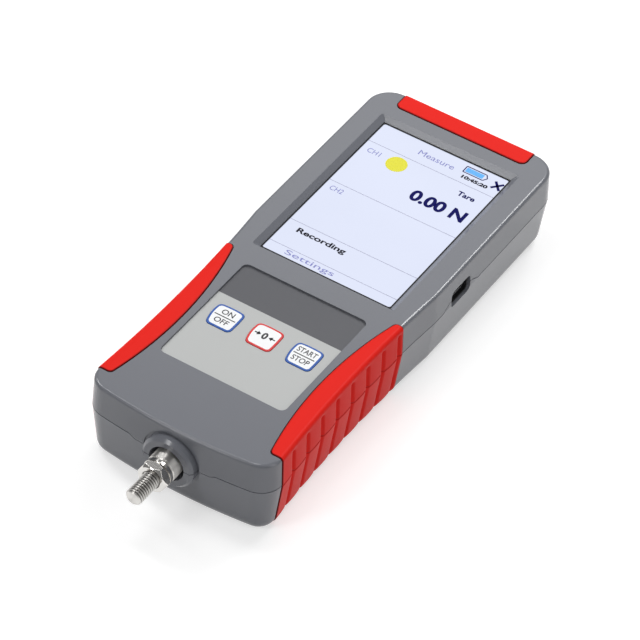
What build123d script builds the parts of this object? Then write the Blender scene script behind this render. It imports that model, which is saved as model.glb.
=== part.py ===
from build123d import *
import math
import os

# Handheld digital force gauge: a two-shell moulded case with rubber side grips and an end bumper,
# a display and three sprung keys in the front shell, and a load cell in the rear shell whose spindle
# comes out through a split collar and carries a threaded stud with a lock nut.
#
# Frame: the origin is the centre of the flat back. X is across the case, +Y runs towards the display
# end, +Z points out of the display. The spindle points along -Y. Millimetres.

os.makedirs("parts", exist_ok=True)

# ---------------------------------------------------------------- driving dimensions

# Case
case_length = 180.0
case_width = 71.5
case_depth = 31.0
wall = 2.6
parting_step = 1.1
parting_gap = 0.3
front_draft = 2.5
rear_draft = 6.0
display_corner = 9.5
nose_corner = 8.0
nose_bow = 3.0
waist_depth = 2.1
waist_nose_margin = 1.5
waist_length = 98.5
nose_jog_margin = 4.5
nose_jog_run = 2.2
front_edge_round = 1.2
rear_edge_round = 4.5
seam_lip_thickness = 0.9
seam_lip_height = 1.2
seam_lip_clearance = 0.05

# Grips and bumper
rubber_thickness = 1.5
rubber_proud = 0.35
rubber_gap = 0.25
grip_nose_margin = 9.8
grip_tip_lead = 29.5
grip_tip_inset = 4.55
grip_nose_inset = 5.75
grip_belly_inset = 9.55
grip_belly_shift = 1.65
grip_corner = 1.4
flute_radius = 2.4
flute_depth = 1.1
flute_pitch = 8.93
flute_nose_margin = 7.0
flute_tip_margin = 2.0
flute_top_margin = 0.4
bumper_side_inset = 10.2
bumper_reach = 8.0
bumper_corner = 2.4

# Display
window_side_margin = 8.5
window_end_margin = 13.55
window_keypad_gap = 9.2
window_corner = 0.8
bevel_side = 2.05
bevel_end = 1.7
bevel_depth = 1.7
gasket_thickness = 0.3
gasket_reveal = 0.5
glass_side_lap = 0.55
glass_end_lap = 1.65
glass_thickness = 1.1
glass_corner = 1.0
lcd_edge_inset = 0.1
lcd_thickness = 3.6
lcd_pocket_clearance = 0.3
frame_thickness = 0.8
frame_rail = 5.0
frame_post_end_inset = 8.7
frame_post_radius = 1.9
frame_screw_radius = 0.9
frame_screw_head_radius = 1.7
frame_screw_head_height = 1.1
frame_screw_length = 4.0

# Keypad
keypad_nose_margin = 27.05
keypad_side_margin = 12.05
keypad_length = 49.9
keypad_corner = 2.2
keypad_recess = 1.1
overlay_thickness = 0.4
overlay_clearance = 0.1
key_count = 3
key_side_margin = 3.45
key_space = 4.8
key_bulge = 0.35
key_foot_inset = 1.2
key_corner = 1.7
key_clearance = 0.1
key_stand = 0.25
key_edge_round = 0.15
key_travel = 0.3
key_flange_reach = 0.8
key_flange_thickness = 0.4
key_flange_gap = 0.05
dome_clearance = 0.05
dome_inset = 0.95
dome_height = 0.3
dome_flat_radius = 1.6
dome_thickness = 0.1
stake_board_inset = 2.5
stake_radius = 0.9
stake_cap_radius = 1.7
stake_cap_height = 0.6
stake_clearance = 0.1
keypad_board_side_inset = 1.2
keypad_board_end_inset = 1.45
keypad_board_thickness = 1.0

# Spindle, collar and lock nut
collar_radius = 9.65
collar_bore_radius = 6.55
collar_proud = 2.5
collar_edge = 1.0
collar_groove_width = 0.9
collar_groove_depth = 0.8
shank_radius = 4.7
shank_reach = 5.9
stud_radius = 3.0
stud_length = 14.8
stud_tip_chamfer = 0.7
relief_radius = 2.45
relief_length = 5.2
nut_across_flats = 10.0
nut_thickness = 5.0
nut_clearance = 0.05
nut_chamfer_angle = 30.0
spindle_tail_radius = 2.95
spindle_tail_length = 7.0
spindle_tail_clearance = 0.05
spindle_end_gap = 0.5

# Load cell and its bracket
cell_length = 50.0
cell_nose_gap = 10.0
cell_side_gap = 0.4
cell_floor_gap = 1.5
cell_ceiling_gap = 0.5
cell_slot_width = 2.5
cell_slot_bridge = 8.0
cell_slot_inset = 11.0
cell_eye_radius = 5.5
cell_eye_pitch = 15.0
cell_bolt_radius = 3.0
cell_bolt_thread = 7.0
cell_bore_run_out = 1.0
cell_bolt_head_radius = 5.0
cell_bolt_head_height = 5.0
bracket_thickness = 4.0
bracket_side_inset = 5.0
bracket_foot = 15.0
bracket_pad_height = 2.0
bracket_screw_radius = 1.5
bracket_screw_head_radius = 2.8
bracket_screw_head_height = 1.8
bracket_screw_length = 7.0
bracket_screw_inset = 5.0
bracket_pad_radius = 3.4
bolt_hole_clearance = 0.15

# Boards
port_nose_margin = 116.0
port_width = 11.9
port_tall = 6.9
port_corner = 2.0
port_flare = 0.5
port_depth = 3.2
port_rise_margin = 1.0
port_rise_run = 4.0
socket_width = 9.0
socket_tall = 3.2
socket_length = 7.4
socket_wall = 0.3
socket_corner = 1.3
socket_clearance = 0.2
socket_set_back = 2.15
socket_ceiling_gap = 0.6
tongue_thickness = 0.7
tongue_width = 6.4
tongue_set_back = 1.0
board_thickness = 1.6
board_side_gap = 1.75
board_end_gap = 12.5
board_cell_gap = 11.0
board_column_gap = 0.8
board_ear_reach = 6.6
board_ear_port_lead = 14.0
board_ear_end_inset = 11.5
board_foot_length = 11.5
board_ear_screw_side_inset = 2.8
board_ear_screw_end_inset = 4.0
board_foot_screw_side_inset = 2.6
board_foot_screw_end_inset = 4.5
board_post_radius = 2.6
board_screw_radius = 1.05
board_screw_head_radius = 2.0
board_screw_head_height = 1.4
board_screw_length = 6.0
board_hole_clearance = 0.15
buzzer_radius = 4.5
buzzer_port_radius = 1.0
buzzer_port_depth = 0.5
buzzer_ceiling_gap = 1.0
buzzer_x = -14.0
buzzer_end_inset = 11.5

display_plug_lead = 5.4
display_plug_length = 4.0
display_plug_height = 1.8
keypad_plug_inset = 1.5
keypad_plug_length = 4.0
keypad_plug_height = 2.6
cell_plug_screw_gap = 8.0
cell_plug_inset = 5.5
cell_plug_width = 8.0
cell_plug_length = 5.0
cell_plug_height = 3.3
battery_plug_width = 6.0
battery_plug_length = 5.0
battery_plug_height = 3.0
processor_lead = 43.0
processor_size = 14.0
processor_height = 1.4
converter_x = -16.0
converter_lead = 17.0
converter_size = 7.0
converter_height = 1.0
charger_x = 18.0
charger_lead = 53.0
charger_size = 5.0
charger_height = 0.9
inductor_x = 18.0
inductor_lead = 63.0
inductor_size = 5.0
inductor_height = 2.6

# Battery
battery_thickness = 9.4
battery_side_gap = 3.0
battery_insert_lead = 10.0
battery_end_inset = 21.5
battery_corner = 3.0
battery_pad_thickness = 0.8
battery_pad_inset = 3.0

# Leads and ribbons
lead_radius = 1.0
lead_bend = 3.9
battery_lead_x = 8.0
battery_lead_rise = 4.6
battery_lead_reach = 5.0
cell_lead_rise = 1.8
cell_lead_inset = 2.4
cell_lead_bend = 5.5
cell_lead_turn = 9.5
ribbon_thickness = 0.25
ribbon_bend = 1.2
display_flex_width = 18.0
display_flex_reach = 2.2
keypad_tail_x = -8.0
keypad_tail_width = 8.0
keypad_tail_reach = 3.0

# Case screws and mounting inserts
case_screw_nose_side_inset = 9.75
case_screw_nose_inset = 8.5
case_screw_side_inset = 8.75
case_screw_mid_lead = 25.5
case_screw_end_inset = 8.2
case_screw_radius = 1.25
case_screw_clearance = 0.35
case_screw_head_radius = 2.7
case_screw_head_height = 2.0
case_screw_head_depth = 7.0
case_screw_tip_gap = 1.4
case_column_radius = 3.6
case_boss_radius = 3.2
screw_pilot_clearance = 0.05
drive_recess_radius = 1.1
drive_recess_depth = 0.9
insert_spacing_x = 40.0
insert_spacing_y = 70.0
insert_nose_margin = 24.0
insert_bore_radius = 1.65
insert_radius = 2.8
insert_length = 7.0
insert_boss_wall = 1.8

# ---------------------------------------------------------------- derived places

# Across and along the case
half_width = case_width / 2
half_length = case_length / 2
nose_y = -half_length
end_y = half_length
waist_low_y = nose_y + waist_nose_margin
waist_top_y = waist_low_y + waist_length
waist_middle_y = (waist_low_y + waist_top_y) / 2
waist_half_chord = (waist_top_y - waist_low_y) / 2
nose_radius = (half_width**2 + nose_bow**2) / (2 * nose_bow)
waist_radius = (waist_half_chord**2 + waist_depth**2) / (2 * waist_depth)
waist_centre_x = half_width - waist_depth + waist_radius
bumper_width = case_width - 2 * bumper_side_inset
bumper_near_y = end_y - bumper_reach

# Keypad, keys and the board behind them
keypad_width = case_width - 2 * keypad_side_margin
keypad_y = nose_y + keypad_nose_margin + keypad_length / 2
keypad_end_y = keypad_y + keypad_length / 2
key_size = (keypad_width - 2 * key_side_margin - (key_count - 1) * key_space) / key_count
key_pitch = key_size + key_space
key_xs = [(i - (key_count - 1) / 2) * key_pitch for i in range(key_count)]
dome_radius = key_size / 2 - dome_inset
keypad_board_width = keypad_width - 2 * keypad_board_side_inset
keypad_board_length = keypad_length - 2 * keypad_board_end_inset
keypad_board_end_y = keypad_y + keypad_board_length / 2
stake_spacing_x = keypad_board_width - 2 * stake_board_inset
stake_spacing_y = keypad_board_length - 2 * stake_board_inset

# Grips
grip_nose_y = nose_y + grip_nose_margin
grip_tip_y = keypad_y + grip_tip_lead
grip_belly_y = (grip_nose_y + grip_tip_y) / 2 - grip_belly_shift
grip_tip_x = half_width - grip_tip_inset
grip_nose_x = half_width - grip_nose_inset
grip_belly_x = half_width - grip_belly_inset
flute_first_y = grip_nose_y + flute_nose_margin
flute_count = 1 + int((grip_tip_y - flute_tip_margin - flute_first_y) / flute_pitch)
flute_ys = [flute_first_y + i * flute_pitch for i in range(flute_count)]

# Display
window_low_y = keypad_end_y + window_keypad_gap
window_high_y = end_y - window_end_margin
window_y = (window_low_y + window_high_y) / 2
window_width = case_width - 2 * window_side_margin
window_length = window_high_y - window_low_y
bevel_floor_width = window_width - 2 * bevel_side
bevel_floor_length = window_length - 2 * bevel_end
glass_width = window_width + 2 * glass_side_lap
glass_length = window_length + 2 * glass_end_lap
lcd_width = glass_width - 2 * lcd_edge_inset
lcd_length = glass_length - 2 * lcd_edge_inset
lcd_low_y = window_y - lcd_length / 2
frame_post_x = lcd_width / 2 + lcd_pocket_clearance + frame_post_radius
frame_post_spacing_y = lcd_length - 2 * frame_post_end_inset

# Heights, from the display down
front_inner = case_depth - wall
rubber_seat_front = case_depth - rubber_thickness
window_floor = case_depth - bevel_depth
gasket_base = window_floor - gasket_thickness
glass_base = gasket_base - glass_thickness
lcd_base = glass_base - lcd_thickness
frame_base = lcd_base - frame_thickness
keypad_floor = case_depth - keypad_recess
overlay_top = keypad_floor + overlay_thickness
keypad_board_top = front_inner
keypad_board_base = keypad_board_top - keypad_board_thickness
key_top = overlay_top + key_stand
dome_top = keypad_board_top + dome_height
key_base = dome_top + key_travel + dome_clearance
key_flange_top = key_base + key_flange_thickness
key_pocket_top = key_flange_top + key_flange_gap

# Heights, from the back up: the cell fills the room between the insert bosses and the keypad board,
# and the spindle runs through its middle
insert_boss_top = insert_length + insert_boss_wall
cell_base = insert_boss_top + cell_floor_gap
cell_top = keypad_board_base - stake_cap_height - cell_ceiling_gap
cell_thickness = cell_top - cell_base
spindle_height = (cell_base + cell_top) / 2
parting_height = spindle_height + parting_step
socket_base = frame_base - socket_ceiling_gap - socket_tall
port_height = socket_base + socket_tall / 2
board_top = socket_base
board_base = board_top - board_thickness
buzzer_height = lcd_base - buzzer_ceiling_gap - board_top
bracket_foot_top = wall + bracket_pad_height + bracket_thickness
battery_base = wall + battery_pad_thickness
battery_lead_z = battery_base + battery_lead_rise
cell_lead_z = board_top + cell_lead_rise
case_screw_seat = case_screw_head_depth + case_screw_head_height
case_screw_length = front_inner - case_screw_tip_gap - case_screw_seat

# Case screws
case_screw_nose_x = half_width - case_screw_nose_side_inset
case_screw_side_x = half_width - case_screw_side_inset
case_screw_nose_y = nose_y + case_screw_nose_inset
case_screw_mid_y = keypad_y + case_screw_mid_lead
case_screw_end_y = end_y - case_screw_end_inset

# Load cell, spindle and bracket
cell_width = 2 * (case_screw_nose_x - case_column_radius - cell_side_gap)
cell_front_y = nose_y + cell_nose_gap
cell_back_y = cell_front_y + cell_length
cell_middle_y = (cell_front_y + cell_back_y) / 2
cell_slot_reach = cell_width - cell_slot_bridge
shoulder_y = nose_y - shank_reach
stud_tip_y = shoulder_y - stud_length
bracket_width = cell_width - 2 * bracket_side_inset
bracket_screw_x = bracket_width / 2 - bracket_screw_inset
bracket_back_y = cell_back_y + bracket_thickness
cell_lead_x = cell_width / 2 - cell_lead_inset
cell_lead_bend_y = cell_back_y + cell_lead_bend
cell_lead_turn_y = cell_back_y + cell_lead_turn

# Main board and what stands on it
port_y = nose_y + port_nose_margin
board_low_y = cell_back_y + board_cell_gap
board_high_y = end_y - board_end_gap
board_foot_high_y = board_low_y + board_foot_length
board_foot_width = 2 * (case_screw_side_x - case_column_radius - board_column_gap)
board_ear_x = half_width - wall - board_side_gap
board_width = 2 * (board_ear_x - board_ear_reach)
board_ear_low_y = port_y - board_ear_port_lead
board_ear_high_y = board_high_y - board_ear_end_inset
board_ear_screw_x = board_ear_x - board_ear_screw_side_inset
board_foot_screw_x = board_foot_width / 2 - board_foot_screw_side_inset
board_foot_screw_y = board_low_y + board_foot_screw_end_inset
cell_plug_x = board_foot_screw_x - cell_plug_screw_gap
cell_plug_y = board_low_y + cell_plug_inset
display_plug_y = lcd_low_y + display_plug_lead
keypad_plug_y = keypad_board_end_y - keypad_plug_inset
processor_y = board_low_y + processor_lead
converter_y = board_low_y + converter_lead
charger_y = board_low_y + charger_lead
inductor_y = board_low_y + inductor_lead
buzzer_y = board_high_y - buzzer_end_inset

# Inserts and battery
insert_boss_radius = insert_radius + insert_boss_wall
insert_low_y = nose_y + insert_nose_margin
insert_high_y = insert_low_y + insert_spacing_y
battery_width = 2 * (board_ear_screw_x - board_post_radius - battery_side_gap)
battery_low_y = insert_high_y + battery_insert_lead
battery_high_y = board_high_y - battery_end_inset
battery_length = battery_high_y - battery_low_y
battery_middle_y = (battery_low_y + battery_high_y) / 2
battery_lead_y = battery_high_y + battery_lead_reach

# Places of the repeated fasteners
stake_places = [
    (side * stake_spacing_x / 2, keypad_y + end * stake_spacing_y / 2)
    for side in (-1, 1)
    for end in (-1, 1)
]
spindle_axis = Axis((0, 0, spindle_height), (0, -1, 0))
spindle_plane = Plane(origin=(0, 0, spindle_height), x_dir=(1, 0, 0), z_dir=(0, -1, 0))
case_screw_places = [
    (side * x, y)
    for x, y in (
        (case_screw_nose_x, case_screw_nose_y),
        (case_screw_side_x, case_screw_mid_y),
        (case_screw_side_x, case_screw_end_y),
    )
    for side in (-1, 1)
]
board_screw_places = [
    (side * x, y)
    for x, y in (
        (board_foot_screw_x, board_foot_screw_y),
        (board_ear_screw_x, board_ear_low_y + board_ear_screw_end_inset),
        (board_ear_screw_x, board_ear_high_y - board_ear_screw_end_inset),
    )
    for side in (-1, 1)
]
frame_screw_places = [
    (side * frame_post_x, window_y + end * frame_post_spacing_y / 2)
    for side in (-1, 1)
    for end in (-1, 1)
]
bracket_screw_places = [
    (side * bracket_screw_x, bracket_back_y + bracket_foot / 2) for side in (-1, 1)
]
insert_places = [
    (side * insert_spacing_x / 2, y) for side in (-1, 1) for y in (insert_low_y, insert_high_y)
]


def waist_at(y):
    """How far the side of the case is drawn in at y, by the chord of the waist arc."""
    along = (y - waist_middle_y) / waist_half_chord
    return max(0.0, waist_depth * (1 - along**2))


# ---------------------------------------------------------------- case form


def case_outline(height, inset):
    """Plan outline of the case at its parting line, moved inwards by inset, on a level plane."""
    with BuildSketch(Plane.XY.offset(height)) as outline:
        Rectangle(case_width - 2 * inset, case_length - 2 * inset)
        # the bowed nose
        with Locations((0, nose_y + nose_radius)):
            Circle(nose_radius - inset, mode=Mode.INTERSECT)
        # the drawn-in waist
        with Locations((-waist_centre_x, waist_middle_y), (waist_centre_x, waist_middle_y)):
            Circle(waist_radius + inset, mode=Mode.SUBTRACT)
        fillet(outline.vertices().group_by(Axis.Y)[-1], display_corner - inset)
        fillet(outline.vertices().group_by(Axis.Y)[0], nose_corner - inset)
    return outline.sketch


def case_form(inset, top, base, top_round, base_round):
    """The case as a solid, drafted both ways from the parting height, with its walls moved inwards."""
    front_lean = (top - parting_height) * math.tan(math.radians(front_draft))
    rear_lean = (parting_height - base) * math.tan(math.radians(rear_draft))
    middle = case_outline(parting_height, inset)
    with BuildPart() as form:
        loft([middle, case_outline(top, inset + front_lean)], ruled=True)
        loft([case_outline(base, inset + rear_lean), middle], ruled=True)
        fillet(form.faces().sort_by(Axis.Z)[-1].edges(), top_round)
        fillet(form.faces().sort_by(Axis.Z)[0].edges(), base_round)
    return form.part


def parting_block(lift):
    """Everything above the parting line: it steps down to the collar and up to the side port."""
    reach = case_length
    nose_jog_inner = collar_radius + nose_jog_margin
    nose_jog_outer = nose_jog_inner + nose_jog_run
    nose_zone_y = nose_y + 2 * nose_corner
    level = parting_height + lift
    low = spindle_height + lift
    high = port_height + lift
    rise_low_y = port_y - port_width / 2 - port_rise_margin
    rise_high_y = port_y + port_width / 2 + port_rise_margin
    with BuildPart() as block:
        with BuildSketch(Plane.XZ.offset(-nose_zone_y)):
            with BuildLine():
                Polyline(
                    (-reach, level),
                    (-nose_jog_outer, level),
                    (-nose_jog_inner, low),
                    (nose_jog_inner, low),
                    (nose_jog_outer, level),
                    (reach, level),
                    (reach, reach),
                    (-reach, reach),
                    close=True,
                )
            make_face()
        extrude(amount=reach)
        with BuildSketch(Plane.XZ.offset(-nose_zone_y)):
            with Locations((0, (level + reach) / 2)):
                Rectangle(2 * reach, reach - level)
        extrude(amount=-2 * reach)
        with BuildSketch(Plane.YZ.offset(half_width / 2)):
            with BuildLine():
                Polyline(
                    (rise_low_y - port_rise_run, level),
                    (rise_low_y, high),
                    (rise_high_y, high),
                    (rise_high_y + port_rise_run, level),
                    close=True,
                )
            make_face()
        extrude(amount=reach, mode=Mode.SUBTRACT)
    return block.part


with BuildPart() as case_blank:
    add(case_form(0, case_depth, 0, front_edge_round, rear_edge_round))
    # shadow groove round the collar
    with BuildSketch(spindle_plane.offset(half_length)):
        Circle(collar_radius + collar_groove_width)
    extrude(amount=-collar_groove_depth, mode=Mode.SUBTRACT)
    # the collar, with its rounded shoulder
    with BuildSketch(spindle_plane.offset(half_length - wall)):
        Circle(collar_radius)
    extrude(amount=wall + collar_proud)
    chamfer(case_blank.faces().sort_by(Axis.Y)[0].edges(), collar_edge)

with BuildPart() as case_cavity:
    add(case_form(wall, front_inner, wall, front_edge_round / 2, wall / 2))

with BuildPart() as rubber_core:
    add(
        case_form(
            rubber_thickness,
            rubber_seat_front,
            rubber_thickness,
            front_edge_round / 2,
            rear_edge_round - rubber_thickness,
        )
    )

with BuildPart() as rubber_skin:
    add(
        case_form(
            -rubber_proud,
            case_depth + rubber_proud,
            0,
            front_edge_round + rubber_proud,
            rear_edge_round + rubber_proud,
        )
    )
    add(rubber_core.part, mode=Mode.SUBTRACT)

# ---------------------------------------------------------------- grip and bumper regions


def grip_region(gap):
    """Plan region of the right grip, carried through the full depth and grown by gap."""
    with BuildPart() as region:
        with BuildSketch(Plane.XY.offset(-case_depth)) as plan:
            with BuildLine():
                ThreePointArc(
                    (grip_nose_x, grip_nose_y), (grip_belly_x, grip_belly_y), (grip_tip_x, grip_tip_y)
                )
                Polyline(
                    (grip_tip_x, grip_tip_y),
                    (case_width, grip_tip_y),
                    (case_width, grip_nose_y),
                    (grip_nose_x, grip_nose_y),
                )
            make_face()
            fillet(plan.vertices().sort_by(Axis.X)[:2], grip_corner)
            if gap > 0:
                offset(amount=gap)
        extrude(amount=3 * case_depth)
    return region.part


def bumper_region(gap):
    """Plan region of the end bumper, from the display face down to the parting line."""
    with BuildPart() as region:
        with BuildSketch(Plane.XY.offset(parting_height + parting_gap + rubber_gap - gap)) as plan:
            with Locations((0, bumper_near_y + half_length / 2)):
                Rectangle(bumper_width, half_length)
            fillet(plan.vertices().group_by(Axis.Y)[0], bumper_corner)
            if gap > 0:
                offset(amount=gap)
        extrude(amount=case_depth)
    return region.part


with BuildPart() as flutes:
    # upright flutes down the right side, leaning with the draft above and below the parting
    flute_rise = case_depth - flute_top_margin - flute_radius - parting_height
    front_angle = math.radians(front_draft)
    rear_angle = math.radians(rear_draft)
    for y in flute_ys:
        flute_x = half_width + rubber_proud - waist_at(y) + flute_radius - flute_depth
        foot = (flute_x, y, parting_height)
        head = (flute_x - flute_rise * math.tan(front_angle), y, parting_height + flute_rise)
        with BuildSketch(Plane(foot, z_dir=(-math.sin(front_angle), 0, math.cos(front_angle)))):
            Circle(flute_radius)
        extrude(amount=flute_rise / math.cos(front_angle))
        with BuildSketch(Plane(foot, z_dir=(-math.sin(rear_angle), 0, -math.cos(rear_angle)))):
            Circle(flute_radius)
        extrude(amount=case_depth)
        with Locations(foot, head):
            Sphere(flute_radius)

with BuildPart() as grip_pocket:
    add(grip_region(rubber_gap))
    add(rubber_core.part, mode=Mode.SUBTRACT)

with BuildPart() as bumper_pocket:
    add(bumper_region(rubber_gap))
    add(rubber_core.part, mode=Mode.SUBTRACT)

with BuildPart() as port_cutter:
    # flared mouth in the side wall, then the slot that the socket reaches through
    port_floor_x = half_width - port_depth
    for reach, size_change in ((port_floor_x, -2 * port_flare), (half_width, 0)):
        with BuildSketch(Plane.YZ.offset(reach)):
            with Locations((port_y, port_height)):
                RectangleRounded(port_width + size_change, port_tall + size_change, port_corner)
    loft()
    with BuildSketch(Plane.YZ.offset(port_floor_x)):
        with Locations((port_y, port_height)):
            RectangleRounded(
                socket_width + 2 * socket_clearance,
                socket_tall + 2 * socket_clearance,
                socket_corner + socket_clearance,
            )
    extrude(amount=-2 * wall)

with BuildPart() as collar_bore:
    with BuildSketch(spindle_plane.offset(half_length - 2 * wall)):
        Circle(collar_bore_radius)
    extrude(amount=case_length)

# ---------------------------------------------------------------- front shell


def key_plan(grow):
    """Outline of a key about its own centre: a square with bowed sides, drawn in at its left foot."""
    half = key_size / 2
    top_left = (-half + key_bulge, half - key_bulge)
    top_right = (half - key_bulge / 2, half - key_bulge)
    foot_right = (half - key_bulge / 2, -half)
    foot_left = (-half + key_foot_inset, -half)
    with BuildSketch() as plan:
        with BuildLine():
            ThreePointArc(top_left, (0, half), top_right)
            ThreePointArc(top_right, (half, 0), foot_right)
            Line(foot_right, foot_left)
            ThreePointArc(foot_left, (-half, key_bulge), top_left)
        make_face()
        fillet(plan.vertices(), key_corner)
        if grow > 0:
            offset(amount=grow)
    return plan.sketch


def key_prism(centre_x, grow, base, top):
    """One key's outline carried from base to top."""
    with BuildPart() as prism:
        with BuildSketch(Plane.XY.offset(base)):
            with Locations((centre_x, keypad_y)):
                add(key_plan(grow))
        extrude(amount=top - base)
    return prism.part


with BuildPart() as seam_rebate:
    add(case_outline(spindle_height, wall - seam_lip_thickness - seam_lip_clearance))
    extrude(amount=parting_height + seam_lip_height - spindle_height)

with BuildPart() as front_shell:
    add(case_blank.part)
    add(parting_block(parting_gap), mode=Mode.INTERSECT)
    add(case_cavity.part, mode=Mode.SUBTRACT)
    add(seam_rebate.part, mode=Mode.SUBTRACT)
    # display recess with sloped walls, and the pocket behind it for gasket, glass and display
    with BuildSketch(Plane.XY.offset(case_depth)):
        with Locations((0, window_y)):
            RectangleRounded(window_width, window_length, window_corner)
    with BuildSketch(Plane.XY.offset(window_floor)):
        with Locations((0, window_y)):
            RectangleRounded(bevel_floor_width, bevel_floor_length, window_corner / 2)
    loft(mode=Mode.SUBTRACT)
    with BuildSketch(Plane.XY.offset(front_inner - wall)):
        with Locations((0, window_y)):
            Rectangle(lcd_width + 2 * lcd_pocket_clearance, lcd_length + 2 * lcd_pocket_clearance)
    extrude(amount=window_floor - front_inner + wall, mode=Mode.SUBTRACT)
    # keypad recess, with an opening under each key
    with BuildSketch(Plane.XY.offset(keypad_floor)):
        with Locations((0, keypad_y)):
            RectangleRounded(keypad_width, keypad_length, keypad_corner)
    extrude(amount=case_depth, mode=Mode.SUBTRACT)
    for x in key_xs:
        add(key_prism(x, key_clearance, 0, case_depth), mode=Mode.SUBTRACT)
        add(
            key_prism(x, key_flange_reach + key_clearance, front_inner - wall, key_pocket_top),
            mode=Mode.SUBTRACT,
        )
    # seats of the grips and the bumper
    add(grip_pocket.part, mode=Mode.SUBTRACT)
    add(mirror(grip_pocket.part, about=Plane.YZ, mode=Mode.PRIVATE), mode=Mode.SUBTRACT)
    add(bumper_pocket.part, mode=Mode.SUBTRACT)
    # bosses for the case screws and posts for the display frame
    with BuildSketch(Plane.XY.offset(parting_height)):
        with Locations(*case_screw_places):
            Circle(case_boss_radius)
    extrude(amount=front_inner - parting_height)
    with BuildSketch(Plane.XY.offset(lcd_base)):
        with Locations(*frame_screw_places):
            Circle(frame_post_radius)
    extrude(amount=front_inner - lcd_base)
    with BuildSketch(Plane.XY.offset(parting_height)):
        with Locations(*case_screw_places):
            Circle(case_screw_radius + screw_pilot_clearance)
    extrude(amount=front_inner - parting_height, mode=Mode.SUBTRACT)
    with BuildSketch(Plane.XY.offset(lcd_base)):
        with Locations(*frame_screw_places):
            Circle(frame_screw_radius + screw_pilot_clearance)
    extrude(amount=front_inner - lcd_base, mode=Mode.SUBTRACT)
    # stakes with melted caps that hold the keypad board to the ceiling
    with BuildSketch(Plane.XY.offset(keypad_board_base - stake_cap_height)):
        with Locations(*stake_places):
            Circle(stake_cap_radius)
    extrude(amount=stake_cap_height)
    with BuildSketch(Plane.XY.offset(keypad_board_base)):
        with Locations(*stake_places):
            Circle(stake_radius)
    extrude(amount=keypad_board_thickness)
    add(port_cutter.part, mode=Mode.SUBTRACT)
    add(collar_bore.part, mode=Mode.SUBTRACT)

# ---------------------------------------------------------------- rear shell

with BuildPart() as seam_lip:
    add(case_outline(spindle_height - wall, wall - seam_lip_thickness))
    extrude(amount=parting_height + seam_lip_height - spindle_height + wall)
    add(case_cavity.part, mode=Mode.SUBTRACT)

with BuildPart() as rear_shell:
    add(case_blank.part)
    add(parting_block(0), mode=Mode.SUBTRACT)
    add(case_cavity.part, mode=Mode.SUBTRACT)
    add(seam_lip.part)
    # columns and posts standing on the floor
    for places, radius, height in (
        (case_screw_places, case_column_radius, parting_height),
        (board_screw_places, board_post_radius, board_base),
        (bracket_screw_places, bracket_pad_radius, wall + bracket_pad_height),
        (insert_places, insert_boss_radius, insert_boss_top),
    ):
        with BuildSketch(Plane.XY.offset(wall)):
            with Locations(*places):
                Circle(radius)
        extrude(amount=height - wall)
    # seats of the grips
    add(grip_pocket.part, mode=Mode.SUBTRACT)
    add(mirror(grip_pocket.part, about=Plane.YZ, mode=Mode.PRIVATE), mode=Mode.SUBTRACT)
    # case screws: deep counterbores from the back, clearance holes above
    with BuildSketch(Plane.XY):
        with Locations(*case_screw_places):
            Circle(case_screw_head_radius + case_screw_clearance)
    extrude(amount=case_screw_seat, mode=Mode.SUBTRACT)
    with BuildSketch(Plane.XY):
        with Locations(*case_screw_places):
            Circle(case_screw_radius + case_screw_clearance)
    extrude(amount=case_depth, mode=Mode.SUBTRACT)
    # blind pilot holes for the board and bracket screws
    with BuildSketch(Plane.XY.offset(board_top - board_screw_length - 2 * screw_pilot_clearance)):
        with Locations(*board_screw_places):
            Circle(board_screw_radius + screw_pilot_clearance)
    extrude(amount=case_depth, mode=Mode.SUBTRACT)
    with BuildSketch(Plane.XY.offset(bracket_foot_top - bracket_screw_length - 2 * screw_pilot_clearance)):
        with Locations(*bracket_screw_places):
            Circle(bracket_screw_radius + screw_pilot_clearance)
    extrude(amount=bracket_screw_length, mode=Mode.SUBTRACT)
    # sockets of the threaded inserts in the back
    with BuildSketch(Plane.XY):
        with Locations(*insert_places):
            Circle(insert_radius)
    extrude(amount=insert_length, mode=Mode.SUBTRACT)
    add(port_cutter.part, mode=Mode.SUBTRACT)
    add(collar_bore.part, mode=Mode.SUBTRACT)

# ---------------------------------------------------------------- rubber parts

with BuildPart() as grip_right_front:
    add(rubber_skin.part)
    add(grip_region(0), mode=Mode.INTERSECT)
    add(parting_block(parting_gap / 2), mode=Mode.INTERSECT)
    add(flutes.part, mode=Mode.SUBTRACT)

with BuildPart() as grip_right_rear:
    add(rubber_skin.part)
    add(grip_region(0), mode=Mode.INTERSECT)
    add(parting_block(0), mode=Mode.SUBTRACT)
    add(flutes.part, mode=Mode.SUBTRACT)

with BuildPart() as grip_left_front:
    mirror(grip_right_front.part, about=Plane.YZ)

with BuildPart() as grip_left_rear:
    mirror(grip_right_rear.part, about=Plane.YZ)

with BuildPart() as top_bumper:
    add(rubber_skin.part)
    add(bumper_region(0), mode=Mode.INTERSECT)

# ---------------------------------------------------------------- display stack

with BuildPart() as display_gasket:
    with BuildSketch(Plane.XY.offset(gasket_base)):
        with Locations((0, window_y)):
            RectangleRounded(glass_width, glass_length, glass_corner)
            RectangleRounded(
                bevel_floor_width - 2 * gasket_reveal,
                bevel_floor_length - 2 * gasket_reveal,
                window_corner,
                mode=Mode.SUBTRACT,
            )
    extrude(amount=gasket_thickness)

with BuildPart() as touch_panel:
    with BuildSketch(Plane.XY.offset(glass_base)):
        with Locations((0, window_y)):
            RectangleRounded(glass_width, glass_length, glass_corner)
    extrude(amount=glass_thickness)

with BuildPart() as lcd_module:
    with BuildSketch(Plane.XY.offset(lcd_base)):
        with Locations((0, window_y)):
            Rectangle(lcd_width, lcd_length)
    extrude(amount=lcd_thickness)

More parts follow.
